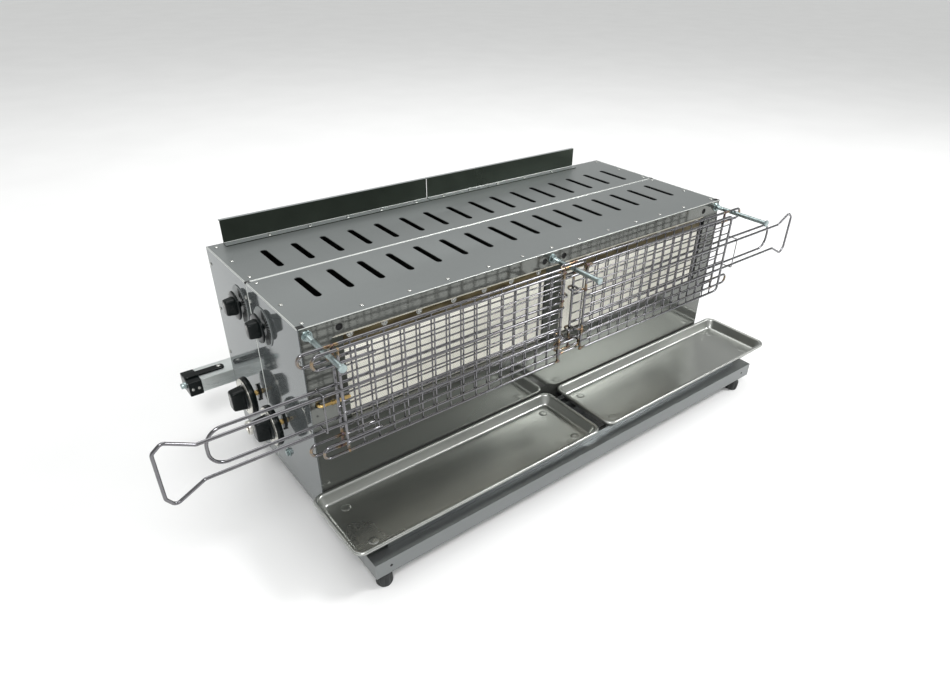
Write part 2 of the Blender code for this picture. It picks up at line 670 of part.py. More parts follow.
def finish_basket_half(name, mesh_build, first_wire, origin, palette):
    """Weld the wires of a half into one body."""
    half = finish_object(name, mesh_build, palette["wire"], origin)
    welded = finish_object(f"{name}_first_wire", first_wire, palette["wire"], origin)
    add_boolean(half, welded, "UNION", self_overlap=True)
    half.modifiers[-1].name = "weld_wires"


def build_rear_half(side, palette):
    """The half that hangs on the rods; its inner upright is the hinge pin."""
    basket = BASKETS[side]
    v = basket["pin_v"]
    outer = BASKET_LENGTH
    loop_end = outer + LOOP_REACH
    bend = LOOP_DROP / 2 - 0.0001
    loop_start = -basket["inner_loop"]
    top, bottom = BASKET_TOP, BASKET_BOTTOM
    mesh_build = bmesh.new()
    for level, foot in ((top, top - LOOP_DROP), (bottom, bottom + LOOP_DROP)):
        route = [(0.006, foot), (loop_start, foot), (loop_start, level)]
        route += [(loop_end, level), (loop_end, foot), (outer - 0.006, foot)]
        add_basket_wire(mesh_build, basket, v, route, bend)
    outer_route = [(outer, top + 0.001), (outer, bottom - 0.001)]
    add_basket_wire(mesh_build, basket, v + 0.0003, outer_route, bend=0, radius=UPRIGHT_WIRE)
    handle_end = outer + REAR_HANDLE_REACH
    start = -0.0004
    handle = [(start, HANDLE_TOP), (handle_end, HANDLE_TOP), (handle_end, HANDLE_BOTTOM), (start, HANDLE_BOTTOM)]
    add_basket_wire(mesh_build, basket, v - 0.0007, handle, bend=0.024)
    add_basket_mesh(mesh_build, basket, v, 0.0, top, bottom)
    pin = bmesh.new()
    add_basket_wire(pin, basket, v, [(0, top + 0.001), (0, bottom - 0.001)], bend=0)
    finish_basket_half(f"basket_{side}_rear", mesh_build, pin, basket_point(basket, 0, v, ROD_W), palette)


def build_front_half(side, palette):
    """The half that swings open, with rings round the hinge pin and the long flared handle."""
    basket = BASKETS[side]
    pin_v = basket["pin_v"]
    v = pin_v - HALF_SPACING
    outer, inner = BASKET_LENGTH, 0.016
    bottom = BASKET_BOTTOM
    bend = LOOP_DROP / 2 - 0.0001
    mesh_build = bmesh.new()
    if side == "left":
        top = BASKET_TOP + 0.002
        loop_end = outer + FRONT_LOOP_REACH
        loop_foot = BASKET_TOP - LOOP_DROP
        route = [(inner - 0.003, top), (loop_end, top), (loop_end, loop_foot), (outer - 0.006, loop_foot)]
        add_basket_wire(mesh_build, basket, v, route, bend)
        route = [(inner - 0.003, bottom), (loop_end, bottom), (loop_end, bottom + LOOP_DROP)]
        route.append((outer - 0.006, bottom + LOOP_DROP))
        add_basket_wire(mesh_build, basket, v, route, bend)
        route = [(outer, top + 0.001), (outer, bottom - 0.001)]
        add_basket_wire(mesh_build, basket, v + 0.0003, route, bend=0, radius=UPRIGHT_WIRE)
    else:
        top = BASKET_TOP - 0.003
        route = [(inner - 0.003, top), (outer, top), (outer, bottom), (inner - 0.003, bottom)]
        add_basket_wire(mesh_build, basket, v, route, bend=0.010)
    handle_end = outer + basket["handle"]
    straight_end = handle_end - HANDLE_GRIP
    handle = [
        (inner - 0.003, HANDLE_TOP),
        (straight_end, HANDLE_TOP),
        (handle_end - 0.013, HANDLE_TOP + HANDLE_FLARE),
        (handle_end, HANDLE_TOP + 0.010),
        (handle_end, HANDLE_BOTTOM - 0.008),
        (handle_end - 0.010, HANDLE_BOTTOM - HANDLE_FLARE - 0.002),
        (straight_end, HANDLE_BOTTOM),
        (inner - 0.003, HANDLE_BOTTOM),
    ]
    add_basket_wire(mesh_build, basket, v - 0.0007, handle, bend=0.007)
    add_basket_mesh(mesh_build, basket, v, inner, top, bottom)
    for w in RING_HEIGHTS:
        add_hinge_ring(mesh_build, basket, w, inner, v)
    upright = bmesh.new()
    route = [(inner, top + 0.001), (inner, bottom - 0.001)]
    add_basket_wire(upright, basket, v + 0.0003, route, bend=0, radius=UPRIGHT_WIRE)
    finish_basket_half(f"basket_{side}_front", mesh_build, upright, basket_point(basket, 0, pin_v, ROD_W), palette)


def add_hinge_ring(mesh_build, basket, w, inner, v):
    """A wire ring round the hinge pin, linked to the front half's inner upright."""
    centre = basket_point(basket, 0, basket["pin_v"], w)
    sides = 12
    circle = []
    for index in range(sides):
        angle = 2 * math.pi * index / sides
        circle.append(centre + Vector((math.cos(angle), math.sin(angle), 0)) * RING_RADIUS)
    add_wire(mesh_build, circle, WIRE, (0, 0, 1), closed=True)
    upright = basket_point(basket, inner, v, w)
    direction = (upright - centre).normalized()
    link = [centre + direction * RING_RADIUS, upright + direction * 0.001]
    add_wire(mesh_build, link, WIRE * 0.9, (0, 0, 1))


def build_lock_clip(side, palette):
    """A wire clip that slides along the front handle and reaches over the rear one."""
    basket = BASKETS[side]
    along = BASKET_LENGTH + CLIP_OFFSET
    rear_v = basket["pin_v"]
    front_v = rear_v - HALF_SPACING - WIRE - CLIP_WIRE - 0.0011
    top = HANDLE_TOP + WIRE + CLIP_WIRE + 0.0006
    bottom = HANDLE_BOTTOM - WIRE - CLIP_WIRE - 0.0006
    route = [(rear_v, top), (front_v, top), (front_v, bottom), (rear_v, bottom)]
    points = [basket_point(basket, along, v, w) for v, w in route]
    mesh_build = bmesh.new()
    add_wire(mesh_build, rounded_path(points, 0.003), CLIP_WIRE, (1, 0, 0))
    origin = basket_point(basket, along, front_v, (top + bottom) / 2)
    finish_object(f"lock_clip_{side}", mesh_build, palette["wire"], origin, smooth=True)


def main():
    clear_scene()
    palette = make_palette()
    build_base(palette)
    build_casing(palette)
    build_burners(palette)
    build_pilot_tube(palette)
    build_rods(palette)
    build_back_bar(palette)
    build_dials(palette)
    build_taps(palette)
    build_inlet_fitting(palette)
    for side in BASKETS:
        build_tray(side, palette)
        build_rear_half(side, palette)
        build_front_half(side, palette)
        build_lock_clip(side, palette)


main()
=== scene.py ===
"""Looks of the vertical gas grill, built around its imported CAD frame.

Casing coordinates are the same as the CAD source's: u from the casing's left side, v back from its
front face and w up from its top. place() turns them into the frame.
"""

import math

import bmesh
import bpy
from mathutils import Matrix, Vector, noise


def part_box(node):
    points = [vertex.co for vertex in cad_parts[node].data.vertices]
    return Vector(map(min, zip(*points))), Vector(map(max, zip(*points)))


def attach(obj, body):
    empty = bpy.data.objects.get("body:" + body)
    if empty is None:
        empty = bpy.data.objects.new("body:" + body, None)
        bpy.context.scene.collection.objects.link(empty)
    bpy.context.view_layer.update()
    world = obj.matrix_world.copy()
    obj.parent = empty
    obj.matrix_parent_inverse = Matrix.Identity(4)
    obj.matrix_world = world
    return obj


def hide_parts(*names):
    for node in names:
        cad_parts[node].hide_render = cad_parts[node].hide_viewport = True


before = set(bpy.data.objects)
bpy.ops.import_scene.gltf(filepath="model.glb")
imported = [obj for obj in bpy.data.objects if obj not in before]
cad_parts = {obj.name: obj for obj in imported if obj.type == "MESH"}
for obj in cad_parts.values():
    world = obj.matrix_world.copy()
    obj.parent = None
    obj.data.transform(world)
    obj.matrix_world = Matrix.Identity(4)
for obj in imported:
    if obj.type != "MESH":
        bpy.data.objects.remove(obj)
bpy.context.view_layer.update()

LEFT_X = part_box("side_panel_front_left")[0].x
FRONT_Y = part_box("front_fascia")[0].y
TOP_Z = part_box("top_panel_front")[1].z
CASE_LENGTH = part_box("side_panel_front_right")[1].x - LEFT_X
CASE_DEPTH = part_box("rear_fascia")[1].y - FRONT_Y
FRONT_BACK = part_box("side_panel_front_left")[1].y - FRONT_Y
MODULE_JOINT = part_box("side_panel_rear_left")[0].y - FRONT_Y


def place(u, v, w):
    return Vector((LEFT_X + u, FRONT_Y + v, TOP_Z + w))


# ---------------------------------------------------------------- camera

CAMERA_AZIMUTH = -39.3497
CAMERA_ELEVATION = 32.8293
CAMERA_ROLL = 1.5363
CAMERA_AT = place(-0.3124, -0.8324, 0.4808)
CAMERA_LENS = 25.61
CAMERA_SHIFT = (-0.0218, 0.0234)


def make_camera():
    angles = (CAMERA_AZIMUTH, CAMERA_ELEVATION, CAMERA_ROLL)
    azimuth, elevation, roll = (math.radians(angle) for angle in angles)
    forward = Vector(
        (
            -math.sin(azimuth) * math.cos(elevation),
            math.cos(azimuth) * math.cos(elevation),
            -math.sin(elevation),
        )
    )
    level = forward.cross(Vector((0, 0, 1))).normalized()
    upright = level.cross(forward)
    right = math.cos(roll) * level + math.sin(roll) * upright
    up = -math.sin(roll) * level + math.cos(roll) * upright
    data = bpy.data.cameras.new("camera")
    data.sensor_width = 36.0
    data.lens = CAMERA_LENS
    data.shift_x, data.shift_y = CAMERA_SHIFT
    data.clip_start = 0.01
    data.clip_end = 60
    camera = bpy.data.objects.new("camera", data)
    turn = Matrix((right, up, -forward)).transposed().to_4x4()
    camera.matrix_world = Matrix.Translation(CAMERA_AT) @ turn
    bpy.context.scene.collection.objects.link(camera)
    bpy.context.scene.camera = camera


# ---------------------------------------------------------------- materials


class Shader:
    """A Principled material with short calls for the nodes that feed it."""

    def __init__(self, name, colour, roughness, metallic=0.0):
        self.material = bpy.data.materials.new(name)
        self.material.use_nodes = True
        self.tree = self.material.node_tree
        self.bsdf = self.tree.nodes["Principled BSDF"]
        self.bsdf.inputs["Base Color"].default_value = (*colour, 1)
        self.bsdf.inputs["Roughness"].default_value = roughness
        self.bsdf.inputs["Metallic"].default_value = metallic
        self.material.diffuse_color = (*colour, 1)
        self.coords = self.tree.nodes.new("ShaderNodeTexCoord").outputs["Object"]
        self.bump_normal = None

    def node(self, kind, values=None, **settings):
        item = self.tree.nodes.new(kind)
        for key, value in settings.items():
            setattr(item, key, value)
        for key, value in (values or {}).items():
            if isinstance(value, bpy.types.NodeSocket):
                self.tree.links.new(value, item.inputs[key])
            else:
                item.inputs[key].default_value = value
        return item

    def noise(self, scale, detail=3.0, roughness=0.55, stretch=(1, 1, 1), distortion=0.0):
        mapped = self.node("ShaderNodeMapping", {"Vector": self.coords, "Scale": stretch})
        values = {
            "Vector": mapped.outputs[0],
            "Scale": scale,
            "Detail": detail,
            "Roughness": roughness,
            "Distortion": distortion,
        }
        return self.node("ShaderNodeTexNoise", values).outputs["Fac"]

    def ramp(self, source, stops):
        item = self.node("ShaderNodeValToRGB", {"Fac": source})
        elements = item.color_ramp.elements
        while len(elements) < len(stops):
            elements.new(0.5)
        for element, (position, colour) in zip(elements, stops):
            element.position = position
            element.color = (*colour, 1)
        return item.outputs["Color"]

    def spread(self, source, low, high, start=0.3, end=0.7):
        """Map start..end of a source to low..high."""
        values = {"Value": source, "From Min": start, "From Max": end, "To Min": low, "To Max": high}
        return self.node("ShaderNodeMapRange", values).outputs["Result"]

    def math(self, operation, first, second=0.0):
        item = self.node("ShaderNodeMath", operation=operation)
        for socket, value in zip(item.inputs, (first, second)):
            if isinstance(value, bpy.types.NodeSocket):
                self.tree.links.new(value, socket)
            else:
                socket.default_value = value
        return item.outputs[0]

    def mix(self, factor, first, second, blend="MIX"):
        item = self.node("ShaderNodeMix", data_type="RGBA", blend_type=blend)
        colours = [s for s in item.inputs if s.type == "RGBA"]
        pairs = ((item.inputs[0], factor), (colours[0], first), (colours[1], second))
        for socket, value in pairs:
            if isinstance(value, bpy.types.NodeSocket):
                self.tree.links.new(value, socket)
            elif isinstance(value, tuple):
                socket.default_value = (*value, 1)
            else:
                socket.default_value = value
        return next(s for s in item.outputs if s.type == "RGBA")

    def colour_from(self, socket):
        self.tree.links.new(socket, self.bsdf.inputs["Base Color"])

    def roughness_from(self, socket):
        self.tree.links.new(socket, self.bsdf.inputs["Roughness"])

    def metallic_from(self, socket):
        self.tree.links.new(socket, self.bsdf.inputs["Metallic"])

    def bump(self, height, strength, distance):
        values = {"Height": height, "Strength": strength, "Distance": distance}
        if self.bump_normal is not None:
            values["Normal"] = self.bump_normal
        self.bump_normal = self.node("ShaderNodeBump", values).outputs["Normal"]
        self.tree.links.new(self.bump_normal, self.bsdf.inputs["Normal"])

    def attribute(self, name):
        return self.node("ShaderNodeAttribute", attribute_name=name).outputs["Fac"]


def shade(colour, factor):
    return tuple(min(1.0, c * factor) for c in colour)


def brushed_metal(name, colour, roughness, along, grain, blotch, bump, metallic=1.0):
    """Sheet metal with fine brush lines along one axis, smudges and faint waviness."""
    shader = Shader(name, colour, roughness, metallic)
    stretch = {"X": (6, 620, 620), "Y": (620, 6, 620), "Z": (620, 620, 6)}[along]
    lines = shader.noise(1.0, 4.0, 0.7, stretch)
    clouds = shader.noise(5.0, 3.0, 0.5)
    smudges = shader.noise(16.0, 4.0, 0.55, distortion=0.4)
    darker, lighter = shade(colour, 1 - 2 * grain), shade(colour, 1 + 2 * grain)
    base = shader.mix(shader.spread(lines, 0, 1), darker, lighter)
    tone = shader.ramp(clouds, [(0.30, (1 - blotch,) * 3), (0.70, (1.0,) * 3)])
    shader.colour_from(shader.mix(1.0, base, tone, "MULTIPLY"))
    rough = shader.spread(lines, roughness - grain, roughness + grain)
    rough = shader.math("ADD", rough, shader.spread(smudges, -0.015, 0.025, 0.35, 0.72))
    shader.roughness_from(rough)
    if bump:
        shader.bump(lines, bump, 0.0002)
    shader.bsdf.inputs["Anisotropic"].default_value = 0.35
    return shader.material


def folded_metal(name, colour, painted_lit_face_colour, roughness):
    """Polished strip with painted light and shade: darker on its upright faces than on the faces that look
    up, which are painted lighter as lit faces.
    """
    shader = Shader(name, colour, roughness, 1.0)
    clouds = shader.noise(7.0, 3.0, 0.5)
    normal = shader.coords.node.outputs["Normal"]
    upward = shader.node("ShaderNodeSeparateXYZ", {"Vector": normal}).outputs["Z"]
    tone = shader.mix(shader.spread(clouds, 0, 1), shade(colour, 0.88), shade(colour, 1.10))
    # Painted light and shade: dark colour on upright faces, lighter colour on faces that look up
    shader.colour_from(shader.mix(shader.spread(upward, 0, 1, 0.4, 0.6), tone, painted_lit_face_colour))
    shader.metallic_from(shader.spread(upward, 1.0, 0.35, 0.4, 0.6))
    shader.roughness_from(shader.spread(clouds, roughness - 0.03, roughness + 0.05))
    return shader.material


def pressed_metal(name, colour, roughness, scuffed=0.12, metallic=1.0):
    """Bright deep-drawn sheet with faint draw marks and scuffs."""
    shader = Shader(name, colour, roughness, metallic)
    clouds = shader.noise(6.0, 2.0, 0.5)
    scuffs = shader.noise(1.0, 2.0, 0.5, (12, 160, 90))
    marks = shader.spread(scuffs, 0.0, scuffed, 0.52, 0.75)
    tone = shader.mix(shader.spread(clouds, 0, 1), shade(colour, 0.93), shade(colour, 1.05))
    shader.colour_from(shader.mix(marks, tone, shade(colour, 1.12)))
    rough = shader.spread(clouds, roughness - 0.03, roughness + 0.05)
    shader.roughness_from(shader.math("ADD", rough, shader.math("MULTIPLY", marks, 0.10)))
    return shader.material


def plated_wire(name, colour, roughness):
    """Plated wire that turns straw, brown and violet where the tint attribute says it was heated."""
    shader = Shader(name, colour, roughness, 1.0)
    tint = shader.attribute("tint")
    patches = shader.noise(160.0, 3.0, 0.6)
    heated = shader.math("MULTIPLY", tint, shader.spread(patches, 0.55, 1.25))
    heat = shader.ramp(
        heated,
        [
            (0.00, colour),
            (0.30, shade(colour, 0.97)),
            (0.50, (0.26, 0.19, 0.11)),
            (0.66, (0.16, 0.10, 0.07)),
            (0.82, (0.10, 0.08, 0.10)),
            (1.00, (0.05, 0.05, 0.055)),
        ],
    )
    dull = shader.noise(45.0, 4.0, 0.6)
    spots = shader.spread(dull, 0.0, 0.55, 0.50, 0.72)
    shader.colour_from(shader.mix(spots, heat, shader.mix(1.0, heat, (0.70, 0.72, 0.74), "MULTIPLY")))
    rough = shader.spread(dull, roughness - 0.04, roughness + 0.08)
    shader.roughness_from(shader.math("ADD", rough, shader.math("MULTIPLY", tint, 0.2)))
    shader.bump(shader.noise(900.0, 3.0, 0.6), 0.03, 0.0002)
    return shader.material


def ceramic_material():
    """Off-white fired plate with rows of small burner holes, painted darker as the shade inside them, and
    faint scorching.
    """
    colour = (0.92, 0.90, 0.81)
    shader = Shader("burner_ceramic_perforated", colour, 0.92)
    hole_pitch, tile_length = 0.0033, 0.0693
    separate = shader.node("ShaderNodeSeparateXYZ", {"Vector": shader.coords})
    x, z = separate.outputs["X"], separate.outputs["Z"]

    def within_cell(value, size):
        """How far a value is from the middle of its cell, from -0.5 to 0.5."""
        fraction = shader.math("FRACT", shader.math("DIVIDE", value, size))
        return shader.math("SUBTRACT", fraction, 0.5)

    row = shader.math("FLOOR", shader.math("DIVIDE", z, hole_pitch))
    odd_row = shader.math("MODULO", shader.math("ABSOLUTE", row), 2.0)
    across = shader.math("ADD", x, shader.math("MULTIPLY", odd_row, hole_pitch / 2))
    offsets = (within_cell(across, hole_pitch), within_cell(z, hole_pitch))
    squares = [shader.math("MULTIPLY", offset, offset) for offset in offsets]
    distance = shader.math("SQRT", shader.math("ADD", *squares))
    hole = shader.spread(distance, 1.0, 0.0, 0.16, 0.26)
    clouds = shader.noise(14.0, 4.0, 0.6)
    body = shader.mix(shader.spread(clouds, 0, 1), shade(colour, 0.94), shade(colour, 1.05))
    # Joints between the cast tiles
    from_middle = shader.math("ABSOLUTE", within_cell(x, tile_length))
    joint = shader.spread(from_middle, 0.0, 0.5, 0.490, 0.497)
    body = shader.mix(joint, body, shade(colour, 0.55))
    # Painted shade: each burner hole is coloured darker, as the shade inside it
    shader.colour_from(shader.mix(hole, body, (0.46, 0.43, 0.36)))
    shader.bump(shader.math("SUBTRACT", 1.0, hole), 0.5, 0.0010)
    shader.bump(shader.noise(420.0, 3.0, 0.7), 0.25, 0.0003)
    return shader.material


def heat_tint_material():
    """Steel strip coloured straw to dark brown by the burner behind it."""
    shader = Shader("heat_tinted_steel_streaked", (0.14, 0.10, 0.05), 0.38, 1.0)
    streaks = shader.noise(1.0, 4.0, 0.6, (16, 40, 120))
    colours = [
        (0.25, (0.040, 0.034, 0.024)),
        (0.45, (0.085, 0.068, 0.036)),
        (0.62, (0.150, 0.125, 0.070)),
        (0.80, (0.075, 0.070, 0.062)),
    ]
    shader.colour_from(shader.ramp(streaks, colours))
    shader.roughness_from(shader.spread(streaks, 0.28, 0.50))
    shader.bump(shader.noise(300.0, 3.0, 0.6), 0.15, 0.0003)
    return shader.material


def gasket_material():
    """Plaited glass fibre: bright strands over gaps painted darker as shade."""
    shader = Shader("fibre_gasket_plaited", (0.66, 0.63, 0.52), 0.95)
    strands = shader.noise(1.0, 3.0, 0.6, (500, 900, 900))
    stains = shader.noise(30.0, 3.0, 0.6)
    # Painted shade: the gaps between the strands are coloured darker
    base = shader.mix(shader.spread(strands, 0, 1), (0.42, 0.40, 0.33), (0.78, 0.76, 0.67))
    shader.colour_from(shader.mix(shader.spread(stains, 0.0, 0.5, 0.5, 0.75), base, (0.33, 0.26, 0.17)))
    shader.bump(strands, 0.6, 0.0006)
    shader.bsdf.inputs["Sheen Weight"].default_value = 0.2
    return shader.material


def moulded_plastic(name, colour, roughness, grain=0.35, shine=0.5):
    """Moulded plastic with a fine spark texture and handling marks."""
    shader = Shader(name, colour, roughness)
    texture = shader.noise(1500.0, 2.0, 0.5)
    marks = shader.noise(60.0, 5.0, 0.65)
    shader.colour_from(shader.mix(shader.spread(marks, 0, 1), shade(colour, 0.8), shade(colour, 1.25)))
    shader.roughness_from(shader.spread(marks, roughness - 0.03, roughness + 0.05))
    shader.bump(texture, grain, 0.0001)
    shader.bsdf.inputs["IOR"].default_value = 1.49
    shader.bsdf.inputs["Specular IOR Level"].default_value = shine
    return shader.material


def cast_metal(name, colour, roughness, tarnish):
    """Turned or plated small metal parts with tarnish in patches."""
    shader = Shader(name, colour, roughness, 1.0)
    patches = shader.noise(140.0, 4.0, 0.6)
    shader.colour_from(shader.mix(shader.spread(patches, 0.0, 0.8, 0.42, 0.75), colour, tarnish))
    shader.roughness_from(shader.spread(patches, roughness - 0.06, roughness + 0.14))
    shader.bump(shader.noise(1200.0, 3.0, 0.6), 0.12, 0.0001)
    return shader.material


def floor_material():
    shader = Shader("studio_floor", (0.86, 0.86, 0.86), 0.9)
    clouds = shader.noise(3.0, 2.0, 0.5)
    grey, lighter = (0.85,) * 3, (0.875,) * 3
    shader.colour_from(shader.mix(shader.spread(clouds, 0, 1), grey, lighter))
    shader.bsdf.inputs["Specular IOR Level"].default_value = 0.1
    return shader.material


# Material name, colour, roughness, brush axis, grain, blotches, bump and metallic share
BRUSHED = {
    "top": ("steel_top_brushed", (0.175, 0.188, 0.186), 0.38, "X", 0.010, 0.04, 0.03, 0.45),
    "side": ("steel_side_polished", (0.165, 0.181, 0.184), 0.07, "Z", 0.006, 0.03, 0.0, 0.55),
    "front": ("steel_front_polished", (0.15, 0.156, 0.145), 0.11, "X", 0.003, 0.03, 0.0, 0.70),
    "rail": ("steel_rail_brushed", (0.22, 0.232, 0.233), 0.30, "X", 0.015, 0.05, 0.03, 0.8),
    "bar": ("steel_bar_brushed", (0.68, 0.72, 0.71), 0.30, "X", 0.03, 0.05, 0.05),
    "inside": ("steel_inside_dull", (0.16, 0.17, 0.16), 0.42, "X", 0.04, 0.15, 0.06),
    # Painted highlight: bright steel for the folded edges, far lighter than the sheets they are folded
    # from
    "edge": ("steel_edge_bright", (0.60, 0.62, 0.60), 0.30, "X", 0.01, 0.03, 0.02, 0.6),
    "dark": ("steel_dark_dull", (0.075, 0.08, 0.07), 0.38, "Z", 0.02, 0.15, 0.06),
}
# Material name, colour, roughness and tarnish
CAST = {
    "zinc": ("zinc_plate_blue", (0.36, 0.43, 0.43), 0.28, (0.24, 0.29, 0.29)),
    "screw": ("screw_steel", (0.52, 0.53, 0.51), 0.22, (0.34, 0.33, 0.30)),
    "brass": ("brass_turned", (0.78, 0.55, 0.22), 0.26, (0.42, 0.27, 0.11)),
    "nickel": ("nickel_satin", (0.70, 0.69, 0.64), 0.30, (0.50, 0.48, 0.42)),
}
# Material name, colour, roughness, grain and shine
MOULDED = {
    "black": ("black_plastic_gloss", (0.004, 0.006, 0.006), 0.20, 0.05, 0.17),
    # Painted shade: black for the holes, notches and gaps
    "hole": ("hole_shadow", (0.006, 0.006, 0.006), 0.8, 0.1),
    "ink": ("dial_ink", (0.006, 0.006, 0.006), 0.6, 0.1, 0.15),
    "brown": ("fitting_insert_brown", (0.10, 0.055, 0.025), 0.5, 0.3),
    "rubber": ("foot_rubber_moulded", (0.016, 0.018, 0.018), 0.55, 0.5),
}


def make_materials():
    made = {
        # Upstand: upright faces painted dark as shade, faces that look up painted lighter as lit faces
        "upstand": folded_metal("steel_upstand_mirror", (0.055, 0.066, 0.054), (0.24, 0.26, 0.26), 0.30),
        "tray": pressed_metal("steel_tray_pressed", (0.40, 0.41, 0.39), 0.30),
        "dial": pressed_metal("aluminium_dial_satin", (0.22, 0.235, 0.235), 0.40, 0.05, 0.45),
        "wire": plated_wire("wire_plated", (0.185, 0.183, 0.192), 0.09),
        "ceramic": ceramic_material(),
        "strip": heat_tint_material(),
        "gasket": gasket_material(),
        "floor": floor_material(),
    }
    for table, make in ((BRUSHED, brushed_metal), (CAST, cast_metal), (MOULDED, moulded_plastic)):
        for key, values in table.items():
            made[key] = make(*values)
    return made


make_camera()
M = make_materials()


# ---------------------------------------------------------------- mesh helpers


def finish_mesh(name, build, material, body, replaces=(), angle=35, smooth=True):
    """Turn a bmesh in frame coordinates into a piece that rides on a body."""
    bmesh.ops.recalc_face_normals(build, faces=build.faces)
    mesh = bpy.data.meshes.new(name)
    build.to_mesh(mesh)
    build.free()
    for item in material if isinstance(material, (list, tuple)) else [material]:
        mesh.materials.append(item)
    if smooth:
        mesh.shade_smooth()
        mesh.set_sharp_from_angle(angle=math.radians(angle))
    piece = bpy.data.objects.new(name, mesh)
    bpy.context.scene.collection.objects.link(piece)
    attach(piece, body)
    if replaces:
        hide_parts(*replaces)
    return piece


def finish_part(node, suffix, build, material, body, angle=35):
    """Finish a piece that takes the place of the CAD node it is named after."""
    return finish_mesh(f"{node}_{suffix}", build, material, body, [node], angle)


def add_rings(build, rings, index=0):
    loops = [[build.verts.new(point) for point in ring] for ring in rings]
    for first, second in zip(loops, loops[1:]):
        count = len(first)
        for i in range(count):
            j = (i + 1) % count
            build.faces.new((first[i], first[j], second[j], second[i])).material_index = index
    build.faces.new(loops[0][::-1]).material_index = index
    build.faces.new(loops[-1]).material_index = index


def add_closed_rings(build, rings):
    """Rings whose last joins the first, as in a washer or a closed wire."""
    loops = [[build.verts.new(point) for point in ring] for ring in rings]
    count = len(loops[0])
    for k, first in enumerate(loops):
        second = loops[(k + 1) % len(loops)]
        for i in range(count):
            j = (i + 1) % count
            build.faces.new((first[i], first[j], second[j], second[i]))


def axis_frame(axis):
    direction = Vector(axis).normalized()
    side = Vector((0, 0, 1)) if abs(direction.z) < 0.5 else Vector((0, 1, 0))
    return direction, side, direction.cross(side)


def turned_ring(centre, axis, distance, radius, sides=32, shape="round", turn=0.0):
    direction, side, cross = axis_frame(axis)
    points = []
    for i in range(sides):
        angle = 2 * math.pi * i / sides + turn
        reach = radius
        if shape == "hex":
            to_flat = (angle - turn + math.pi / 6) % (math.pi / 3) - math.pi / 6
            reach = radius * math.cos(math.pi / 6) / math.cos(to_flat)
        around = side * math.cos(angle) + cross * math.sin(angle)
        points.append(centre + direction * distance + around * reach)
    return points


def add_turned(build, centre, axis, profile, sides=32, turn=0.0):
    rings = []
    for distance, radius, *shape in profile:
        rings.append(turned_ring(centre, axis, distance, radius, sides, *shape, turn=turn))
    add_rings(build, rings)


def add_disc(build, centre, axis, radius, height, sides, shape="round"):
    add_turned(build, centre, axis, [(0, radius, shape), (height, radius, shape)], sides)


def add_washer(build, centre, axis, profile, sides):
    add_closed_rings(build, [turned_ring(centre, axis, d, r, sides) for d, r in profile])


def rounded_path(points, radius, steps=8, closed=False):
    corners = [Vector(p) for p in points]
    count = len(corners)
    path = []
    for i, corner in enumerate(corners):
        if not closed and i in (0, count - 1):
            path.append(corner)
            continue
        before = (corners[i - 1] - corner).normalized()
        after = (corners[(i + 1) % count] - corner).normalized()
        half = before.angle(after) / 2
        setback = radius / math.tan(half)
        centre = corner + (before + after).normalized() * (radius / math.sin(half))
        start = corner + before * setback - centre
        end = corner + after * setback - centre
        for step in range(steps + 1):
            path.append(centre + start.slerp(end, step / steps).normalized() * radius)
    return path


def divide(path, spacing):
    """Extra points along the straight parts, so that a wire can wander a little."""
    result = [path[0]]
    for first, second in zip(path, path[1:]):
        count = max(1, int((second - first).length / spacing))
        result += [first.lerp(second, k / count) for k in range(1, count + 1)]
    return result


def wander(path, amount, seed, scale=9.0):
    """Bend a path very slightly, as hand-made wirework is."""
    shift = Vector((seed * 7.31, seed * 3.77, seed * 5.13))
    return [point + noise.noise_vector(point * scale + shift) * amount for point in path]


def add_wire(build, path, radius, normal, sides=10, closed=False):
    normal = Vector(normal)
    count = len(path)
    rings = []
    for i, point in enumerate(path):
        before = path[i - 1] if closed or i > 0 else None
        after = path[(i + 1) % count] if closed or i < count - 1 else None
        arriving = (point - before).normalized() if before is not None else (after - point).normalized()
        leaving = (after - point).normalized() if after is not None else arriving
        tangent = (arriving + leaving).normalized()
        side = tangent.cross(normal).normalized()
        up = side.cross(tangent)
        ring = []
        for k in range(sides):
            angle = 2 * math.pi * (k + 0.5) / sides
            ring.append(point + up * radius * math.cos(angle) + side * radius * math.sin(angle))
        rings.append(ring)
    if closed:
        add_closed_rings(build, rings)
        return
    # Rounded ends
    first_dir = (path[0] - path[1]).normalized()
    last_dir = (path[-1] - path[-2]).normalized()
    tip = [path[0] + (p - path[0]) * 0.55 + first_dir * radius * 0.6 for p in rings[0]]
    end = [path[-1] + (p - path[-1]) * 0.55 + last_dir * radius * 0.6 for p in rings[-1]]
    add_rings(build, [tip, *rings, end])


def rounded_rectangle(u_span, v_span, w, radius, steps=8):
    corners = (
        (u_span[1] - radius, v_span[1] - radius, 0),
        (u_span[0] + radius, v_span[1] - radius, 90),
        (u_span[0] + radius, v_span[0] + radius, 180),
        (u_span[1] - radius, v_span[0] + radius, 270),
    )
    points = []
    for cu, cv, start in corners:
        for step in range(steps + 1):
            angle = math.radians(start + 90 * step / steps)
            points.append(place(cu + radius * math.cos(angle), cv + radius * math.sin(angle), w))
    return points


def add_bevel_box(build, low, high, bevel, segments=3, index=0):
    before = set(build.faces)
    size = Vector(high) - Vector(low)
    matrix = Matrix.Translation((Vector(high) + Vector(low)) / 2) @ Matrix.Diagonal((*size, 1))
    made = bmesh.ops.create_cube(build, size=1.0, matrix=matrix)
    edges = list({e for v in made["verts"] for e in v.link_edges})
    bmesh.ops.bevel(build, geom=edges, offset=bevel, segments=segments, profile=0.6, affect="EDGES")
    for face in build.faces:
        if face not in before:
            face.material_index = index


def add_casing_box(build, low, high, bevel, segments):
    """A bevelled box between two casing points."""
    add_bevel_box(build, place(*low), place(*high), bevel, segments)


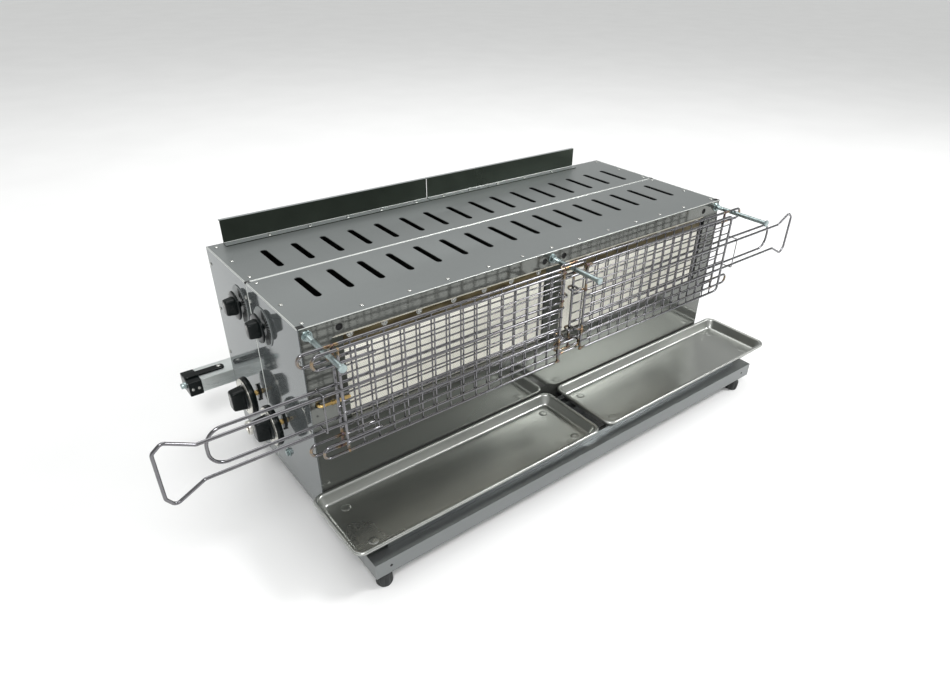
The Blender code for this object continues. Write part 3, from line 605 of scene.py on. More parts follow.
def add_pan_screw(build, centre, axis, radius, height, turn=0.0):
    """A domed head with a shallow hexagon recess."""
    profile = [
        (0.0, radius * 0.96),
        (height * 0.35, radius),
        (height * 0.70, radius * 0.90),
        (height * 0.92, radius * 0.68),
        (height, radius * 0.44),
        (height * 0.98, radius * 0.40, "hex"),
        (height * 0.45, radius * 0.34, "hex"),
    ]
    add_turned(build, centre, axis, profile, 18, turn)


def add_hex_bolt(build, centre, axis, radius, height, turn=0.0, washer=None):
    start = 0.0
    if washer:
        ring = [(0, washer * 0.97), (0.0003, washer), (0.0012, washer), (0.0015, washer * 0.97)]
        add_turned(build, centre, axis, ring, 32, turn)
        start = 0.0015
    profile = [
        (start, radius * 0.98, "hex"),
        (start + 0.0003, radius, "hex"),
        (start + height * 0.80, radius, "hex"),
        (start + height * 0.93, radius * 0.93),
        (start + height, radius * 0.80),
    ]
    add_turned(build, centre, axis, profile, 36, turn)


# ---------------------------------------------------------------- casing


def assign(node, material):
    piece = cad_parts[node]
    piece.data.materials.clear()
    piece.data.materials.append(material)


def dress_casing():
    for module in ("front", "rear"):
        assign(f"side_panel_{module}_left", M["side"])
        assign(f"side_panel_{module}_right", M["side"])
        assign(f"top_panel_{module}", M["top"])
    assign("front_fascia", M["front"])
    assign("rear_fascia", M["front"])
    assign("module_wall", M["inside"])
    for place_name in ("front", "rear", "mid", "left", "right"):
        assign(f"base_{place_name}_rail", M["rail"])
    for side in ("left", "right"):
        assign(f"rear_upstand_{side}", M["upstand"])
        assign(f"burner_plate_{side}", M["ceramic"])
        assign(f"burner_box_{side}", M["inside"])
        assign(f"heat_strip_{side}", M["strip"])
    for name in ("tray_rest_front", "tray_rest_back"):
        assign(name, M["rail"])
    for name in ("burner_divider", "burner_side_bracket"):
        assign(name, M["dark"])
    assign("back_bar", M["bar"])


def add_fold(build, start, end, radius):
    """A straight folded edge between two casing points."""
    normal = (0, 1, 0) if start[:2] == end[:2] else (0, 0, 1)
    add_wire(build, divide([place(*start), place(*end)], 0.05), radius, normal, 12)


def build_folds():
    """Folded edges, painted bright as the highlight along each bend: top front, module seam, upstand feet
    and the casing's corners.
    """
    build = bmesh.new()
    inset = 0.0022
    for v, w, radius in (
        (0.0010, -0.0010, 0.0010),
        (FRONT_BACK - 0.0002, -0.0005, 0.0010),
        (MODULE_JOINT + 0.0004, -0.0006, 0.0009),
    ):
        add_fold(build, (inset, v, w), (CASE_LENGTH - inset, v, w), radius)
    for side in ("left", "right"):
        low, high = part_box(f"rear_upstand_{side}")
        v, w = 0.3719, low.z - TOP_Z + 0.0026
        add_fold(build, (low.x - LEFT_X + 0.001, v, w), (high.x - LEFT_X - 0.001, v, w), 0.0007)
    finish_mesh("top_folds", build, M["edge"], "root")
    build = bmesh.new()
    fold_top, fold_foot = -0.0015, -0.3575
    corner, seam, top = 0.0010, 0.0006, 0.0011
    for u in (corner, CASE_LENGTH - corner):
        for v in (0.0009, MODULE_JOINT + 0.0008, CASE_DEPTH - 0.0009):
            add_fold(build, (u, v, fold_top), (u, v, fold_foot), 0.0009)
    for u in (seam, CASE_LENGTH - seam):
        v = FRONT_BACK - 0.0006
        add_fold(build, (u, v, fold_top), (u, v, fold_foot), 0.0012)
    modules = ((0.0020, FRONT_BACK - 0.0010), (MODULE_JOINT + 0.0010, CASE_DEPTH - 0.0020))
    for u in (top, CASE_LENGTH - top):
        for front, back in modules:
            add_fold(build, (u, front, -0.0012), (u, back, -0.0012), 0.0015)
    finish_mesh("corner_folds", build, M["edge"], "root")


FRONT_SCREWS = (0.014, 0.113, 0.199, 0.274, 0.360, 0.437, 0.508, 0.579, 0.659, 0.739, 0.814, 0.892, 0.986)
UPSTAND_SCREWS = (0.113, 0.194, 0.276, 0.353, 0.437, 0.507, 0.578, 0.658, 0.738, 0.826)
STRIP_SCREWS = (
    (0.083, 0.144, 0.209, 0.278, 0.343, 0.404, 0.469),
    (0.542, 0.597, 0.668, 0.733, 0.806, 0.864, 0.933),
)


def build_screws():
    up, ahead = (0, 0, 1), (0, -1, 0)
    build = bmesh.new()
    for i, u in enumerate(FRONT_SCREWS):
        add_pan_screw(build, place(u, 0.015, 0.0), up, 0.0034, 0.0018, i * 0.7)
    for i, u in enumerate(UPSTAND_SCREWS):
        add_pan_screw(build, place(u, 0.3635, 0.0018), up, 0.0034, 0.0020, i * 0.9)
    for u in (0.014, CASE_LENGTH - 0.014):
        for i, v in enumerate((0.088, 0.182, 0.212, 0.290, 0.366)):
            add_pan_screw(build, place(u, v, 0.0), up, 0.0032, 0.0017, i * 0.6)
    finish_mesh("top_screws", build, M["screw"], "root")
    build = bmesh.new()
    for row in STRIP_SCREWS:
        for i, u in enumerate(row):
            spot = place(u, 0.0046, -0.0350)
            add_pan_screw(build, spot, ahead, 0.0042, 0.0026, i * 0.8)
            add_disc(build, spot, ahead, 0.0056, 0.0006, 24)
    finish_mesh("strip_screws", build, M["screw"], "root")
    build = bmesh.new()
    spots = [(0.010, -0.060), (0.010, -0.190), (0.010, -0.330)]
    spots += [(0.186, -0.030), (0.186, -0.330), (0.204, -0.030), (0.204, -0.330)]
    spots += [(0.370, -0.030), (0.370, -0.120), (0.370, -0.215), (0.370, -0.330)]
    for i, (v, w) in enumerate(spots):
        add_pan_screw(build, place(0.0, v, w), (-1, 0, 0), 0.0032, 0.0018, i)
        add_pan_screw(build, place(CASE_LENGTH, v, w), (1, 0, 0), 0.0032, 0.0018, i)
    finish_mesh("side_screws", build, M["screw"], "root")
    build = bmesh.new()
    bolt = place(0.0, 0.1305, -0.310)
    add_hex_bolt(build, bolt, (-1, 0, 0), 0.0062, 0.0045, 0.2, washer=0.0085)
    finish_mesh("side_bolt", build, M["zinc"], "root")
    build = bmesh.new()
    for u in (0.060, 0.280, 0.500, 0.720, 0.940):
        for w in (-0.012, -0.335):
            add_pan_screw(build, place(u, CASE_DEPTH, w), (0, 1, 0), 0.0034, 0.0020, u * 9)
    finish_mesh("back_screws", build, M["screw"], "root")


def build_hole_shadows():
    """Painted shade: black plugs over the window and black pieces in small holes, corner notches and the
    gap between the modules, standing for the shade inside them.
    """
    build = bmesh.new()
    ahead = (0, -1, 0)
    for u in (0.065, 0.479, 0.527, 0.947):
        add_disc(build, place(u, 0.0030, -0.0155), ahead, 0.0068, 0.0012, 24, "hex")
    for u in (0.0065, CASE_LENGTH - 0.0065):
        add_casing_box(build, (u - 0.0058, 0.0006, -0.0002), (u + 0.0058, 0.0100, 0.0006), 0.0003, 1)
    gap = (FRONT_BACK + 0.0002, MODULE_JOINT - 0.0002)
    for u in (0.0009, CASE_LENGTH - 0.0009):
        add_casing_box(build, (u - 0.0008, gap[0], -0.356), (u + 0.0008, gap[1], -0.002), 0.0001, 1)
    middle = (FRONT_BACK + MODULE_JOINT) / 2
    notch = (middle - 0.0036, middle + 0.0036)
    for u in (0.0040, CASE_LENGTH - 0.0040):
        low, high = (u - 0.0044, notch[0], -0.0030), (u + 0.0044, notch[1], 0.0004)
        add_casing_box(build, low, high, 0.0003, 1)
    small_holes = ((0.0095, -0.120), (0.0115, -0.158), (0.0235, -0.150), (0.0300, -0.128), (0.030, -0.215))
    for u, w in small_holes:
        add_disc(build, place(u, 0.0005, w), ahead, 0.0017, 0.0006, 16)
    for u in (0.030, 0.970):
        add_disc(build, place(u, -0.1675, -0.359), ahead, 0.0026, 0.0006, 20)
    finish_mesh("fascia_hole_shadows", build, M["hole"], "root")


def build_window_sill():
    """The window's lower edge, folded back towards the burners."""
    build = bmesh.new()
    add_casing_box(build, (0.0490, 0.0004, -0.1884), (0.9560, 0.0078, -0.1873), 0.0004, 2)
    finish_mesh("window_sill", build, M["front"], "root")


def build_gasket():
    """Three strands twisted into a rope along the window's top."""
    build = bmesh.new()
    start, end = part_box("window_gasket")
    middle = (start.z + end.z) / 2 - 0.0016
    depth = (start.y + end.y) / 2 - 0.0004
    strands, points, twist = 3, 620, 0.62
    for strand in range(strands):
        path = []
        for k in range(points + 1):
            x = start.x + (end.x - start.x) * k / points
            angle = k * twist + strand * 2 * math.pi / strands
            sway = noise.noise(Vector((x * 11, 0.3, 0.7))) * 0.0005
            y = depth + 0.0009 * math.sin(angle)
            path.append(Vector((x, y, middle + sway + 0.0019 * math.cos(angle))))
        add_wire(build, path, 0.00115, (0, 1, 0), 6)
    finish_part("window_gasket", "rope", build, M["gasket"], "root")


def build_pilot_tube():
    """Brass tube that comes out of the fascia, turns right and ends in a fitting and a nozzle."""
    v, w = -0.007, -0.138
    build = bmesh.new()
    corners = [place(0.014, 0.012, w), place(0.014, v, w), place(0.066, v, w)]
    add_wire(build, rounded_path(corners, 0.006, 10), 0.0026, (0, 0, 1), 18)
    axis = (1, 0, 0)
    add_hex_bolt(build, place(0.034, v, w), axis, 0.0042, 0.0070, 0.1)
    nozzle = [(0, 0.0032), (0.0005, 0.0036), (0.015, 0.0036), (0.020, 0.0029), (0.024, 0.0024)]
    add_turned(build, place(0.043, v, w), axis, nozzle, 24)
    finish_part("pilot_tube", "turned", build, M["brass"], "root")


# ---------------------------------------------------------------- rods


def build_rods():
    """Hanging rods: thread by the fascia, washer, nut and a hexagon head."""
    out = (0, -1, 0)
    thread_start, thread_end, pitch = 0.0072, 0.022, 0.0012
    for side in ("left", "centre", "right"):
        low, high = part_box(f"hang_rod_{side}")
        build = bmesh.new()
        base = Vector(((low.x + high.x) / 2, FRONT_Y, (low.z + high.z) / 2))
        reach = FRONT_Y - low.y
        shank = [(-0.012, 0.0043)]
        for k in range(int((thread_end - thread_start) / pitch)):
            start = thread_start + k * pitch
            shank += [(start, 0.00445), (start + pitch * 0.5, 0.0040)]
        shank += [(thread_end, 0.0044), (reach - 0.0038, 0.0044)]
        add_turned(build, base, out, shank, 24)
        washer = [(0.0003, 0.0085), (0.0006, 0.0088), (0.0015, 0.0088), (0.0018, 0.0085)]
        add_turned(build, base, out, washer, 32)
        nut = [(0.0018, 0.0067), (0.0022, 0.0072, "hex"), (0.0064, 0.0072, "hex"), (0.0068, 0.0066)]
        add_turned(build, base, out, nut, 36, 0.25)
        head = [(reach - 0.0040, 0.0068, "hex"), (reach - 0.0008, 0.0068, "hex")]
        head += [(reach - 0.0002, 0.0062), (reach, 0.0054)]
        add_turned(build, base, out, head, 36, 0.1)
        finish_part(f"hang_rod_{side}", "threaded", build, M["zinc"], "root")


# ---------------------------------------------------------------- baskets

BASKET_LENGTH = 0.448
HALF_SPACING = 0.018
WIRE = 0.0025
THIN = 0.00140
BASKET_TOP, BASKET_BOTTOM = -0.006, -0.183
LOOP_DROP = 0.0205
HANDLE_TOP, HANDLE_BOTTOM = -0.071, -0.129
UPRIGHT_PITCH = 0.0275
CROSS_WIRES = (-0.0255, -0.0450, -0.0905, -0.1100, -0.1485, -0.1660)
RINGS = (-0.058, -0.142)
BASKETS = {
    "left": {"pin_u": 0.472, "pin_v": -0.058, "out": -1, "inner_loop": 0.055, "handle": 0.2585},
    "right": {"pin_u": 0.508, "pin_v": -0.048, "out": 1, "inner_loop": 0.036, "handle": 0.2515},
}


def basket_point(basket, along, v, w):
    return place(basket["pin_u"] + basket["out"] * along, v, w)


def basket_wire(build, basket, v, route, bend=0.006, radius=WIRE, seed=0, sway=0.0004, sides=10):
    points = [basket_point(basket, along, v, w) for along, w in route]
    path = rounded_path(points, bend) if bend else points
    path = wander(divide(path, 0.02), sway, seed)
    add_wire(build, path, radius, (0, 1, 0), sides)


def basket_upright(build, basket, along, v, top, bottom, seed, over=0.0015, sway=0.0004):
    """A straight frame wire that stands a little past the rails it is welded to."""
    route = [(along, top + over), (along, bottom - over)]
    basket_wire(build, basket, v, route, 0, seed=seed, sway=sway)


def basket_mesh(build, basket, v, first, top, bottom, seed):
    """Thin uprights behind and cross wires in front."""
    count = int((BASKET_LENGTH - 0.012 - first) / UPRIGHT_PITCH)
    pitch = (BASKET_LENGTH - first) / (count + 1)
    for i in range(count):
        along = first + pitch * (i + 1)
        lean = 0.0012 * noise.noise(Vector((i * 1.7, seed * 3.1, 0.5)))
        route = [(along, top + 0.001), (along + lean, bottom - 0.001)]
        basket_wire(build, basket, v + 0.0012, route, 0, THIN, seed + i, 0.0005, 8)
    for i, w in enumerate(CROSS_WIRES):
        if bottom < w < top:
            lean = 0.0010 * noise.noise(Vector((i * 2.3, seed * 1.9, 4.5)))
            route = [(first - 0.001, w), (BASKET_LENGTH + 0.001, w + lean)]
            basket_wire(build, basket, v - 0.0010, route, 0, THIN, seed + 40 + i, 0.0005, 8)


def weld_bead(build, centre, radius):
    at = Matrix.Translation(centre)
    made = bmesh.ops.create_icosphere(build, subdivisions=2, radius=radius, matrix=at)
    for vert in made["verts"]:
        offset = vert.co - centre
        vert.co = centre + offset * (1 + 0.18 * noise.noise(vert.co * 700))


def tint_basket(piece, spots):
    """Write how strongly each point was heated, from (centre, radius, strength) spots."""
    layer = piece.data.attributes.new("tint", "FLOAT", "POINT")
    for vert, value in zip(piece.data.vertices, layer.data):
        amount = 0.0
        for centre, radius, strength in spots:
            away = (vert.co - centre).length / radius
            amount = max(amount, strength * math.exp(-away * away))
        patch = 0.16 * max(0.0, noise.noise(vert.co * 13.0) + 0.1)
        value.value = min(1.0, max(amount, patch))


def finish_basket(node, build, body, spots):
    piece = finish_part(node, "wires", build, M["wire"], body, 60)
    tint_basket(piece, spots)


def build_rear_half(side):
    basket = BASKETS[side]
    v = basket["pin_v"]
    outer = BASKET_LENGTH
    loop_end = outer + 0.053
    loop_start = -basket["inner_loop"]
    top, bottom = BASKET_TOP, BASKET_BOTTOM
    seed = 3 if side == "left" else 17
    build = bmesh.new()
    bend = LOOP_DROP / 2 - 0.0001
    for k, (level, foot) in enumerate(((top, top - LOOP_DROP), (bottom, bottom + LOOP_DROP))):
        route = [(0.012, foot), (loop_start, foot), (loop_start, level)]
        route += [(loop_end, level), (loop_end, foot), (outer - 0.058, foot)]
        basket_wire(build, basket, v, route, bend, seed=seed + k, sway=0.0003)
    basket_upright(build, basket, outer, v + 0.0008, top, bottom, seed + 5)
    basket_upright(build, basket, 0, v, top, bottom, seed + 6, sway=0.0001)
    end = outer + 0.192
    handle = [(-0.001, HANDLE_TOP), (end, HANDLE_TOP), (end, HANDLE_BOTTOM), (-0.001, HANDLE_BOTTOM)]
    basket_wire(build, basket, v - 0.0007, handle, 0.024, seed=seed + 7, sway=0.0003)
    basket_mesh(build, basket, v, 0.0, top, bottom, seed + 50)
    spots = []
    for w in (top, top - LOOP_DROP, bottom, bottom + LOOP_DROP):
        for along in (0.0, outer):
            centre = basket_point(basket, along, v, w)
            weld_bead(build, centre, 0.0033)
            spots.append((centre, 0.012, 0.85))
    for along, strengths in ((loop_start, (0.55, 0.62)), (loop_end, (0.5, 0.5))):
        for w, strength in zip((top - 0.010, bottom + 0.010), strengths):
            spots.append((basket_point(basket, along, v, w), 0.016, strength))
    finish_basket(f"basket_{side}_rear", build, f"basket_{side}_body", spots)


def build_front_half(side):
    basket = BASKETS[side]
    pin_v = basket["pin_v"]
    v = pin_v - HALF_SPACING
    outer, inner = BASKET_LENGTH, 0.016
    bottom = BASKET_BOTTOM
    bend = LOOP_DROP / 2 - 0.0001
    seed = 7 if side == "left" else 29
    build = bmesh.new()
    spots = []
    if side == "left":
        top = BASKET_TOP + 0.002
        loop_end = outer + 0.040
        foot = BASKET_TOP - LOOP_DROP
        route = [(inner - 0.003, top), (loop_end, top), (loop_end, foot), (outer - 0.058, foot)]
        basket_wire(build, basket, v, route, bend, seed=seed, sway=0.0003)
        foot = bottom + LOOP_DROP
        route = [(inner - 0.003, bottom), (loop_end, bottom), (loop_end, foot), (outer - 0.058, foot)]
        basket_wire(build, basket, v, route, bend, seed=seed + 1, sway=0.0003)
        basket_upright(build, basket, outer, v + 0.0008, top, bottom, seed + 2)
        spots.append((basket_point(basket, loop_end, v, top - 0.010), 0.016, 0.5))
        spots.append((basket_point(basket, loop_end, v, bottom + 0.010), 0.016, 0.5))
    else:
        top = BASKET_TOP - 0.003
        route = [(inner - 0.003, top), (outer, top), (outer, bottom), (inner - 0.003, bottom)]
        basket_wire(build, basket, v, route, 0.010, seed=seed)
    basket_upright(build, basket, inner, v + 0.0008, top, bottom, seed + 3, over=0.0012)
    end = outer + basket["handle"]
    straight = end - 0.052
    handle = [
        (inner - 0.003, HANDLE_TOP),
        (straight, HANDLE_TOP),
        (end - 0.014, HANDLE_TOP + 0.020),
        (end, HANDLE_TOP + 0.009),
        (end, HANDLE_BOTTOM - 0.007),
        (end - 0.010, HANDLE_BOTTOM - 0.022),
        (straight, HANDLE_BOTTOM),
        (inner - 0.003, HANDLE_BOTTOM),
    ]
    basket_wire(build, basket, v - 0.0007, handle, 0.0075, seed=seed + 4, sway=0.0003)
    basket_mesh(build, basket, v, inner, top, bottom, seed + 90)
    for w in RINGS:
        centre = basket_point(basket, 0, pin_v, w)
        upright = basket_point(basket, inner, v, w)
        away = (upright - centre).normalized()
        circle = []
        for k in range(28):
            angle = 2 * math.pi * k / 28
            tilt = 0.10 * math.sin(angle)
            circle.append(centre + Vector((math.cos(angle), math.sin(angle), tilt)) * 0.0080)
        add_wire(build, circle, 0.0021, (0, 0, 1), 10, closed=True)
        link = divide([centre + away * 0.0078, upright + away * 0.001], 0.004)
        add_wire(build, link, 0.0021, (0, 0, 1), 10)
        weld_bead(build, upright, 0.0033)
        spots.append((centre - away * 0.004, 0.010, 0.60))
        spots.append((upright, 0.010, 0.80))
    for w in (top, bottom):
        for along in (inner, outer):
            if side == "right" and along == outer:
                continue
            centre = basket_point(basket, along, v, w)
            weld_bead(build, centre, 0.0032)
            spots.append((centre, 0.011, 0.8))
    finish_basket(f"basket_{side}_front", build, f"basket_{side}_door", spots)


def build_lock_clip(side):
    basket = BASKETS[side]
    low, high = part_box(f"lock_clip_{side}")
    x = (low.x + high.x) / 2
    radius = 0.0012
    back = high.y - radius
    front = low.y + radius
    top, bottom = high.z - radius, low.z + radius
    points = [
        Vector((x - 0.0004, back, top)),
        Vector((x, front, top)),
        Vector((x, front, bottom)),
        Vector((x - 0.0004, back, bottom)),
    ]
    build = bmesh.new()
    path = divide(rounded_path(points, 0.003, 8), 0.008)
    add_wire(build, path, radius * 0.95, (1, 0, 0), 12)
    for w in (top, bottom):
        weld_bead(build, Vector((x, back, w)), radius * 1.25)
    node = f"lock_clip_{side}"
    piece = finish_part(node, "bent", build, M["wire"], f"clip_{side}", 60)
    tint_basket(piece, [(Vector((x, front, top)), 0.01, 0.3)])


# ---------------------------------------------------------------- trays

TRAY_LENGTH, TRAY_DEPTH = 0.530, 0.162


def build_tray(side):
    low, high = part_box(f"drip_tray_{side}")
    left = low.x - LEFT_X
    front = low.y - FRONT_Y
    back = high.y - FRONT_Y
    floor = low.z - TOP_Z
    rim = high.z - TOP_Z

    def ring(inset, w, corner):
        u_span = (left + inset, left + TRAY_LENGTH - inset)
        return rounded_rectangle(u_span, (front + inset, back - inset), w, corner, 10)

    steps = [
        (0.060, floor + 0.0010, 0.006),
        (0.0200, floor + 0.0010, 0.0100),
        (0.0165, floor + 0.0013, 0.0110),
        (0.0140, floor + 0.0024, 0.0122),
        (0.0125, floor + 0.0045, 0.0130),
        (0.0080, rim - 0.0040, 0.0150),
        (0.0068, rim - 0.0012, 0.0158),
        (0.0056, rim - 0.0002, 0.0165),
        (0.0044, rim, 0.0170),
        (0.0020, rim, 0.0180),
        (0.0009, rim - 0.0005, 0.0185),
        (0.0002, rim - 0.0016, 0.0188),
        (0.0000, rim - 0.0030, 0.0190),
        (0.0004, rim - 0.0050, 0.0188),
        (0.0012, rim - 0.0058, 0.0185),
        (0.0020, rim - 0.0050, 0.0182),
        (0.0018, rim - 0.0030, 0.0182),
        (0.0026, rim - 0.0013, 0.0178),
        (0.0046, rim - 0.0012, 0.0170),
        (0.0060, rim - 0.0030, 0.0162),
        (0.0112, floor + 0.0040, 0.0138),
        (0.0132, floor + 0.0006, 0.0126),
        (0.0200, floor, 0.0100),
        (0.060, floor, 0.006),
    ]
    build = bmesh.new()
    add_rings(build, [ring(*step) for step in steps])
    # Round bosses pressed up through the floor near its corners
    for du in (0.046, TRAY_LENGTH - 0.040):
        for dv in (0.034, TRAY_DEPTH - 0.036):
            centre = place(left + du, front + dv, floor + 0.0009)
            boss = [(0, 0.0090), (0.0002, 0.0084), (0.0006, 0.0070)]
            boss += [(0.0009, 0.0052), (0.0010, 0.0030), (0.0010, 0.0008)]
            add_turned(build, centre, (0, 0, 1), boss, 32)
    node = f"drip_tray_{side}"
    finish_part(node, "pressed", build, M["tray"], f"tray_{side}", 50)


# ---------------------------------------------------------------- controls


def build_dial(module):
    plate_low, plate_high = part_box(f"dial_plate_{module}")
    centre = Vector((LEFT_X, (plate_low.y + plate_high.y) / 2, (plate_low.z + plate_high.z) / 2))
    radius = (plate_high.y - plate_low.y) / 2
    out = (-1, 0, 0)
    build = bmesh.new()
    profile = [(0.0003, radius * 0.995), (0.0010, radius), (0.0014, radius - 0.0006)]
    profile += [(0.0015, radius - 0.0016), (0.0015, 0.0065), (0.0012, 0.0058), (0.0003, 0.0058)]
    add_washer(build, centre, out, profile, 72)
    finish_part(f"dial_plate_{module}", "turned", build, M["dial"], "root")
    build = bmesh.new()
    for k in range(17):
        angle = math.radians(-10 - 10 * k)
        long_mark = k % 4 == 0
        inner, outer = 0.0150, radius - (0.0018 if long_mark else 0.0030)
        thin, thick = 0.0004, 0.0015 if long_mark else 0.0012
        radial = Vector((0, math.sin(angle), math.cos(angle)))
        across = Vector((0, math.cos(angle), -math.sin(angle)))
        base = centre + Vector((-0.0015, 0, 0))
        corners = [radial * inner - across * thin, radial * inner + across * thin]
        corners += [radial * outer + across * thick, radial * outer - across * thick]
        mark = [base + corner for corner in corners]
        add_rings(build, [mark, [point + Vector((-0.00025, 0, 0)) for point in mark]])
    finish_mesh(f"dial_marks_{module}", build, M["ink"], "root", smooth=False)
    knob_profile = [
        (-0.010, 0.0038),
        (0.0085, 0.0038),
        (0.0085, 0.0245),
        (0.0089, 0.0253),
        (0.0108, 0.0253),
        (0.0116, 0.0246),
        (0.0121, 0.0225),
        (0.0124, 0.0150),
    ]
    build = bmesh.new()
    add_turned(build, centre, out, knob_profile, 72)
    add_grip(build, centre, 0.0118, 0.0280, 0.0180, 0.0280)
    node = f"dial_knob_{module}"
    finish_part(node, "moulded", build, [M["black"], M["nickel"]], f"dial_{module}", 40)


# How far out along the grip, how wide and how rounded it is at each step
GRIP_STEPS = (
    (0.0, 1.06, 0.0032),
    (0.30, 1.02, 0.0034),
    (0.80, 0.96, 0.0036),
    (0.93, 0.93, 0.0040),
    (0.985, 0.86, 0.0042),
    (1.0, 0.76, 0.0042),
)


def add_grip(build, centre, start, end, width, height):
    """A block grip with drafted sides, rounded edges and a bright pointer line."""
    rings = []
    for fraction, scale, soft in GRIP_STEPS:
        distance = start + (end - start) * fraction
        half_y, half_z = width / 2 * scale, height / 2 * scale
        ring = []
        for cy, cz, begin in ((1, 1, 0), (-1, 1, 90), (-1, -1, 180), (1, -1, 270)):
            for step in range(6):
                angle = math.radians(begin + 90 * step / 5)
                y = cy * (half_y - soft) + soft * math.cos(angle)
                z = cz * (half_z - soft) + soft * math.sin(angle)
                ring.append(centre + Vector((-distance, y, z)))
        rings.append(ring)
    add_rings(build, rings)
    low = centre + Vector((-end - 0.0002, -0.0006, height * 0.08))
    high = centre + Vector((-end + 0.0010, 0.0006, height * 0.36))
    add_bevel_box(build, low, high, 0.0002, 1, 1)


def build_tap(module):
    plate_low, plate_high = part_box(f"tap_plate_{module}")
    centre = Vector((LEFT_X, (plate_low.y + plate_high.y) / 2, (plate_low.z + plate_high.z) / 2))
    out = (-1, 0, 0)
    build = bmesh.new()
    corners = [(0.0085, 0), (0, 0.0235), (-0.0085, 0), (0, -0.0235)]
    diamond = [centre + Vector((-0.0003, y, z)) for y, z in corners]
    outline = rounded_path(diamond, 0.0028, 6, closed=True)
    middle = centre + Vector((-0.0003, 0, 0))
    rings = []
    for height, scale in ((0, 1), (0.0022, 1), (0.0027, 0.96)):
        rings.append([middle + (p - middle) * scale + Vector((-height, 0, 0)) for p in outline])
    add_rings(build, rings)
    finish_part(f"tap_plate_{module}", "cast", build, M["black"], "root")
    build = bmesh.new()
    for z in (-0.0165, 0.0165):
        add_pan_screw(build, centre + Vector((-0.0029, 0, z)), out, 0.0024, 0.0014)
    finish_mesh(f"tap_plate_screws_{module}", build, M["screw"], "root")
    build = bmesh.new()
    add_turned(build, centre, out, [(-0.010, 0.0033), (0.0157, 0.0033)], 32)
    gland = [(0.0034, 0.0050, "hex"), (0.0070, 0.0050, "hex"), (0.0076, 0.0042), (0.0100, 0.0036)]
    add_turned(build, centre, out, gland, 36)
    finish_part(f"tap_stem_{module}", "turned", build, M["brass"], f"tap_{module}")
    build = bmesh.new()
    skirt = [
        (0.0160, 0.0050),
        (0.0160, 0.0345),
        (0.0164, 0.0358),
        (0.0180, 0.0368),
        (0.0215, 0.0370),
        (0.0250, 0.0368),
        (0.0264, 0.0362),
        (0.0270, 0.0352),
        (0.0270, 0.0210),
        (0.0282, 0.0200),
        (0.0300, 0.0192),
        (0.0308, 0.0180),
        (0.0310, 0.0100),
    ]
    add_turned(build, centre, out, skirt, 80)
    add_grip(build, centre, 0.0290, 0.0530, 0.0220, 0.0400)
    node = f"tap_knob_{module}"
    finish_part(node, "moulded", build, [M["black"], M["nickel"]], f"tap_{module}", 40)
    build = bmesh.new()
    face = [(0.0271, 0.0350), (0.0277, 0.0350), (0.0280, 0.0346)]
    face += [(0.0280, 0.0240), (0.0277, 0.0236), (0.0271, 0.0236)]
    add_washer(build, centre, out, face, 80)
    finish_part(f"tap_knob_face_{module}", "ring", build, M["nickel"], f"tap_{module}")
    build = bmesh.new()
    for degrees, size in ((0, 0.0022), (90, 0.0030), (180, 0.0018)):
        angle = math.radians(degrees)
        spot = centre + Vector((-0.0280, math.sin(angle) * 0.0293, math.cos(angle) * 0.0293))
        add_disc(build, spot, out, size, 0.00012, 20)
    finish_mesh(f"tap_knob_marks_{module}", build, M["ink"], f"tap_{module}", smooth=False)


def build_inlet():
    low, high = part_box("inlet_fitting")
    centre = Vector((LEFT_X, (low.y + high.y) / 2, (low.z + high.z) / 2))
    out = (-1, 0, 0)
    reach = LEFT_X - low.x
    build = bmesh.new()
    pipe = [(0.0003, 0.0125), (0.0020, 0.0125), (0.0024, 0.0095), (reach - 0.011, 0.0092)]
    add_turned(build, centre, out, pipe, 48)
    ring = [
        (reach - 0.0110, 0.0120),
        (reach - 0.0100, 0.0136),
        (reach - 0.0080, 0.0140),
        (reach - 0.0014, 0.0140),
        (reach - 0.0003, 0.0134),
        (reach, 0.0124),
        (reach - 0.0002, 0.0112),
        (reach - 0.0030, 0.0106),
        (reach - 0.0110, 0.0104),
    ]
    add_washer(build, centre, out, ring, 64)
    finish_part("inlet_fitting", "turned", build, M["nickel"], "root")
    build = bmesh.new()
    collar = [(reach - 0.0108, 0.0104), (reach - 0.0050, 0.0104), (reach - 0.0044, 0.0098)]
    add_turned(build, centre, out, collar, 40)
    half = 0.0058
    low = centre + Vector((-reach + 0.0016, -half, -half))
    high = centre + Vector((-reach + 0.0060, half, half))
    add_bevel_box(build, low, high, 0.0010, 3)
    finish_mesh("inlet_insert", build, M["brown"], "root")


# ---------------------------------------------------------------- back bar and feet


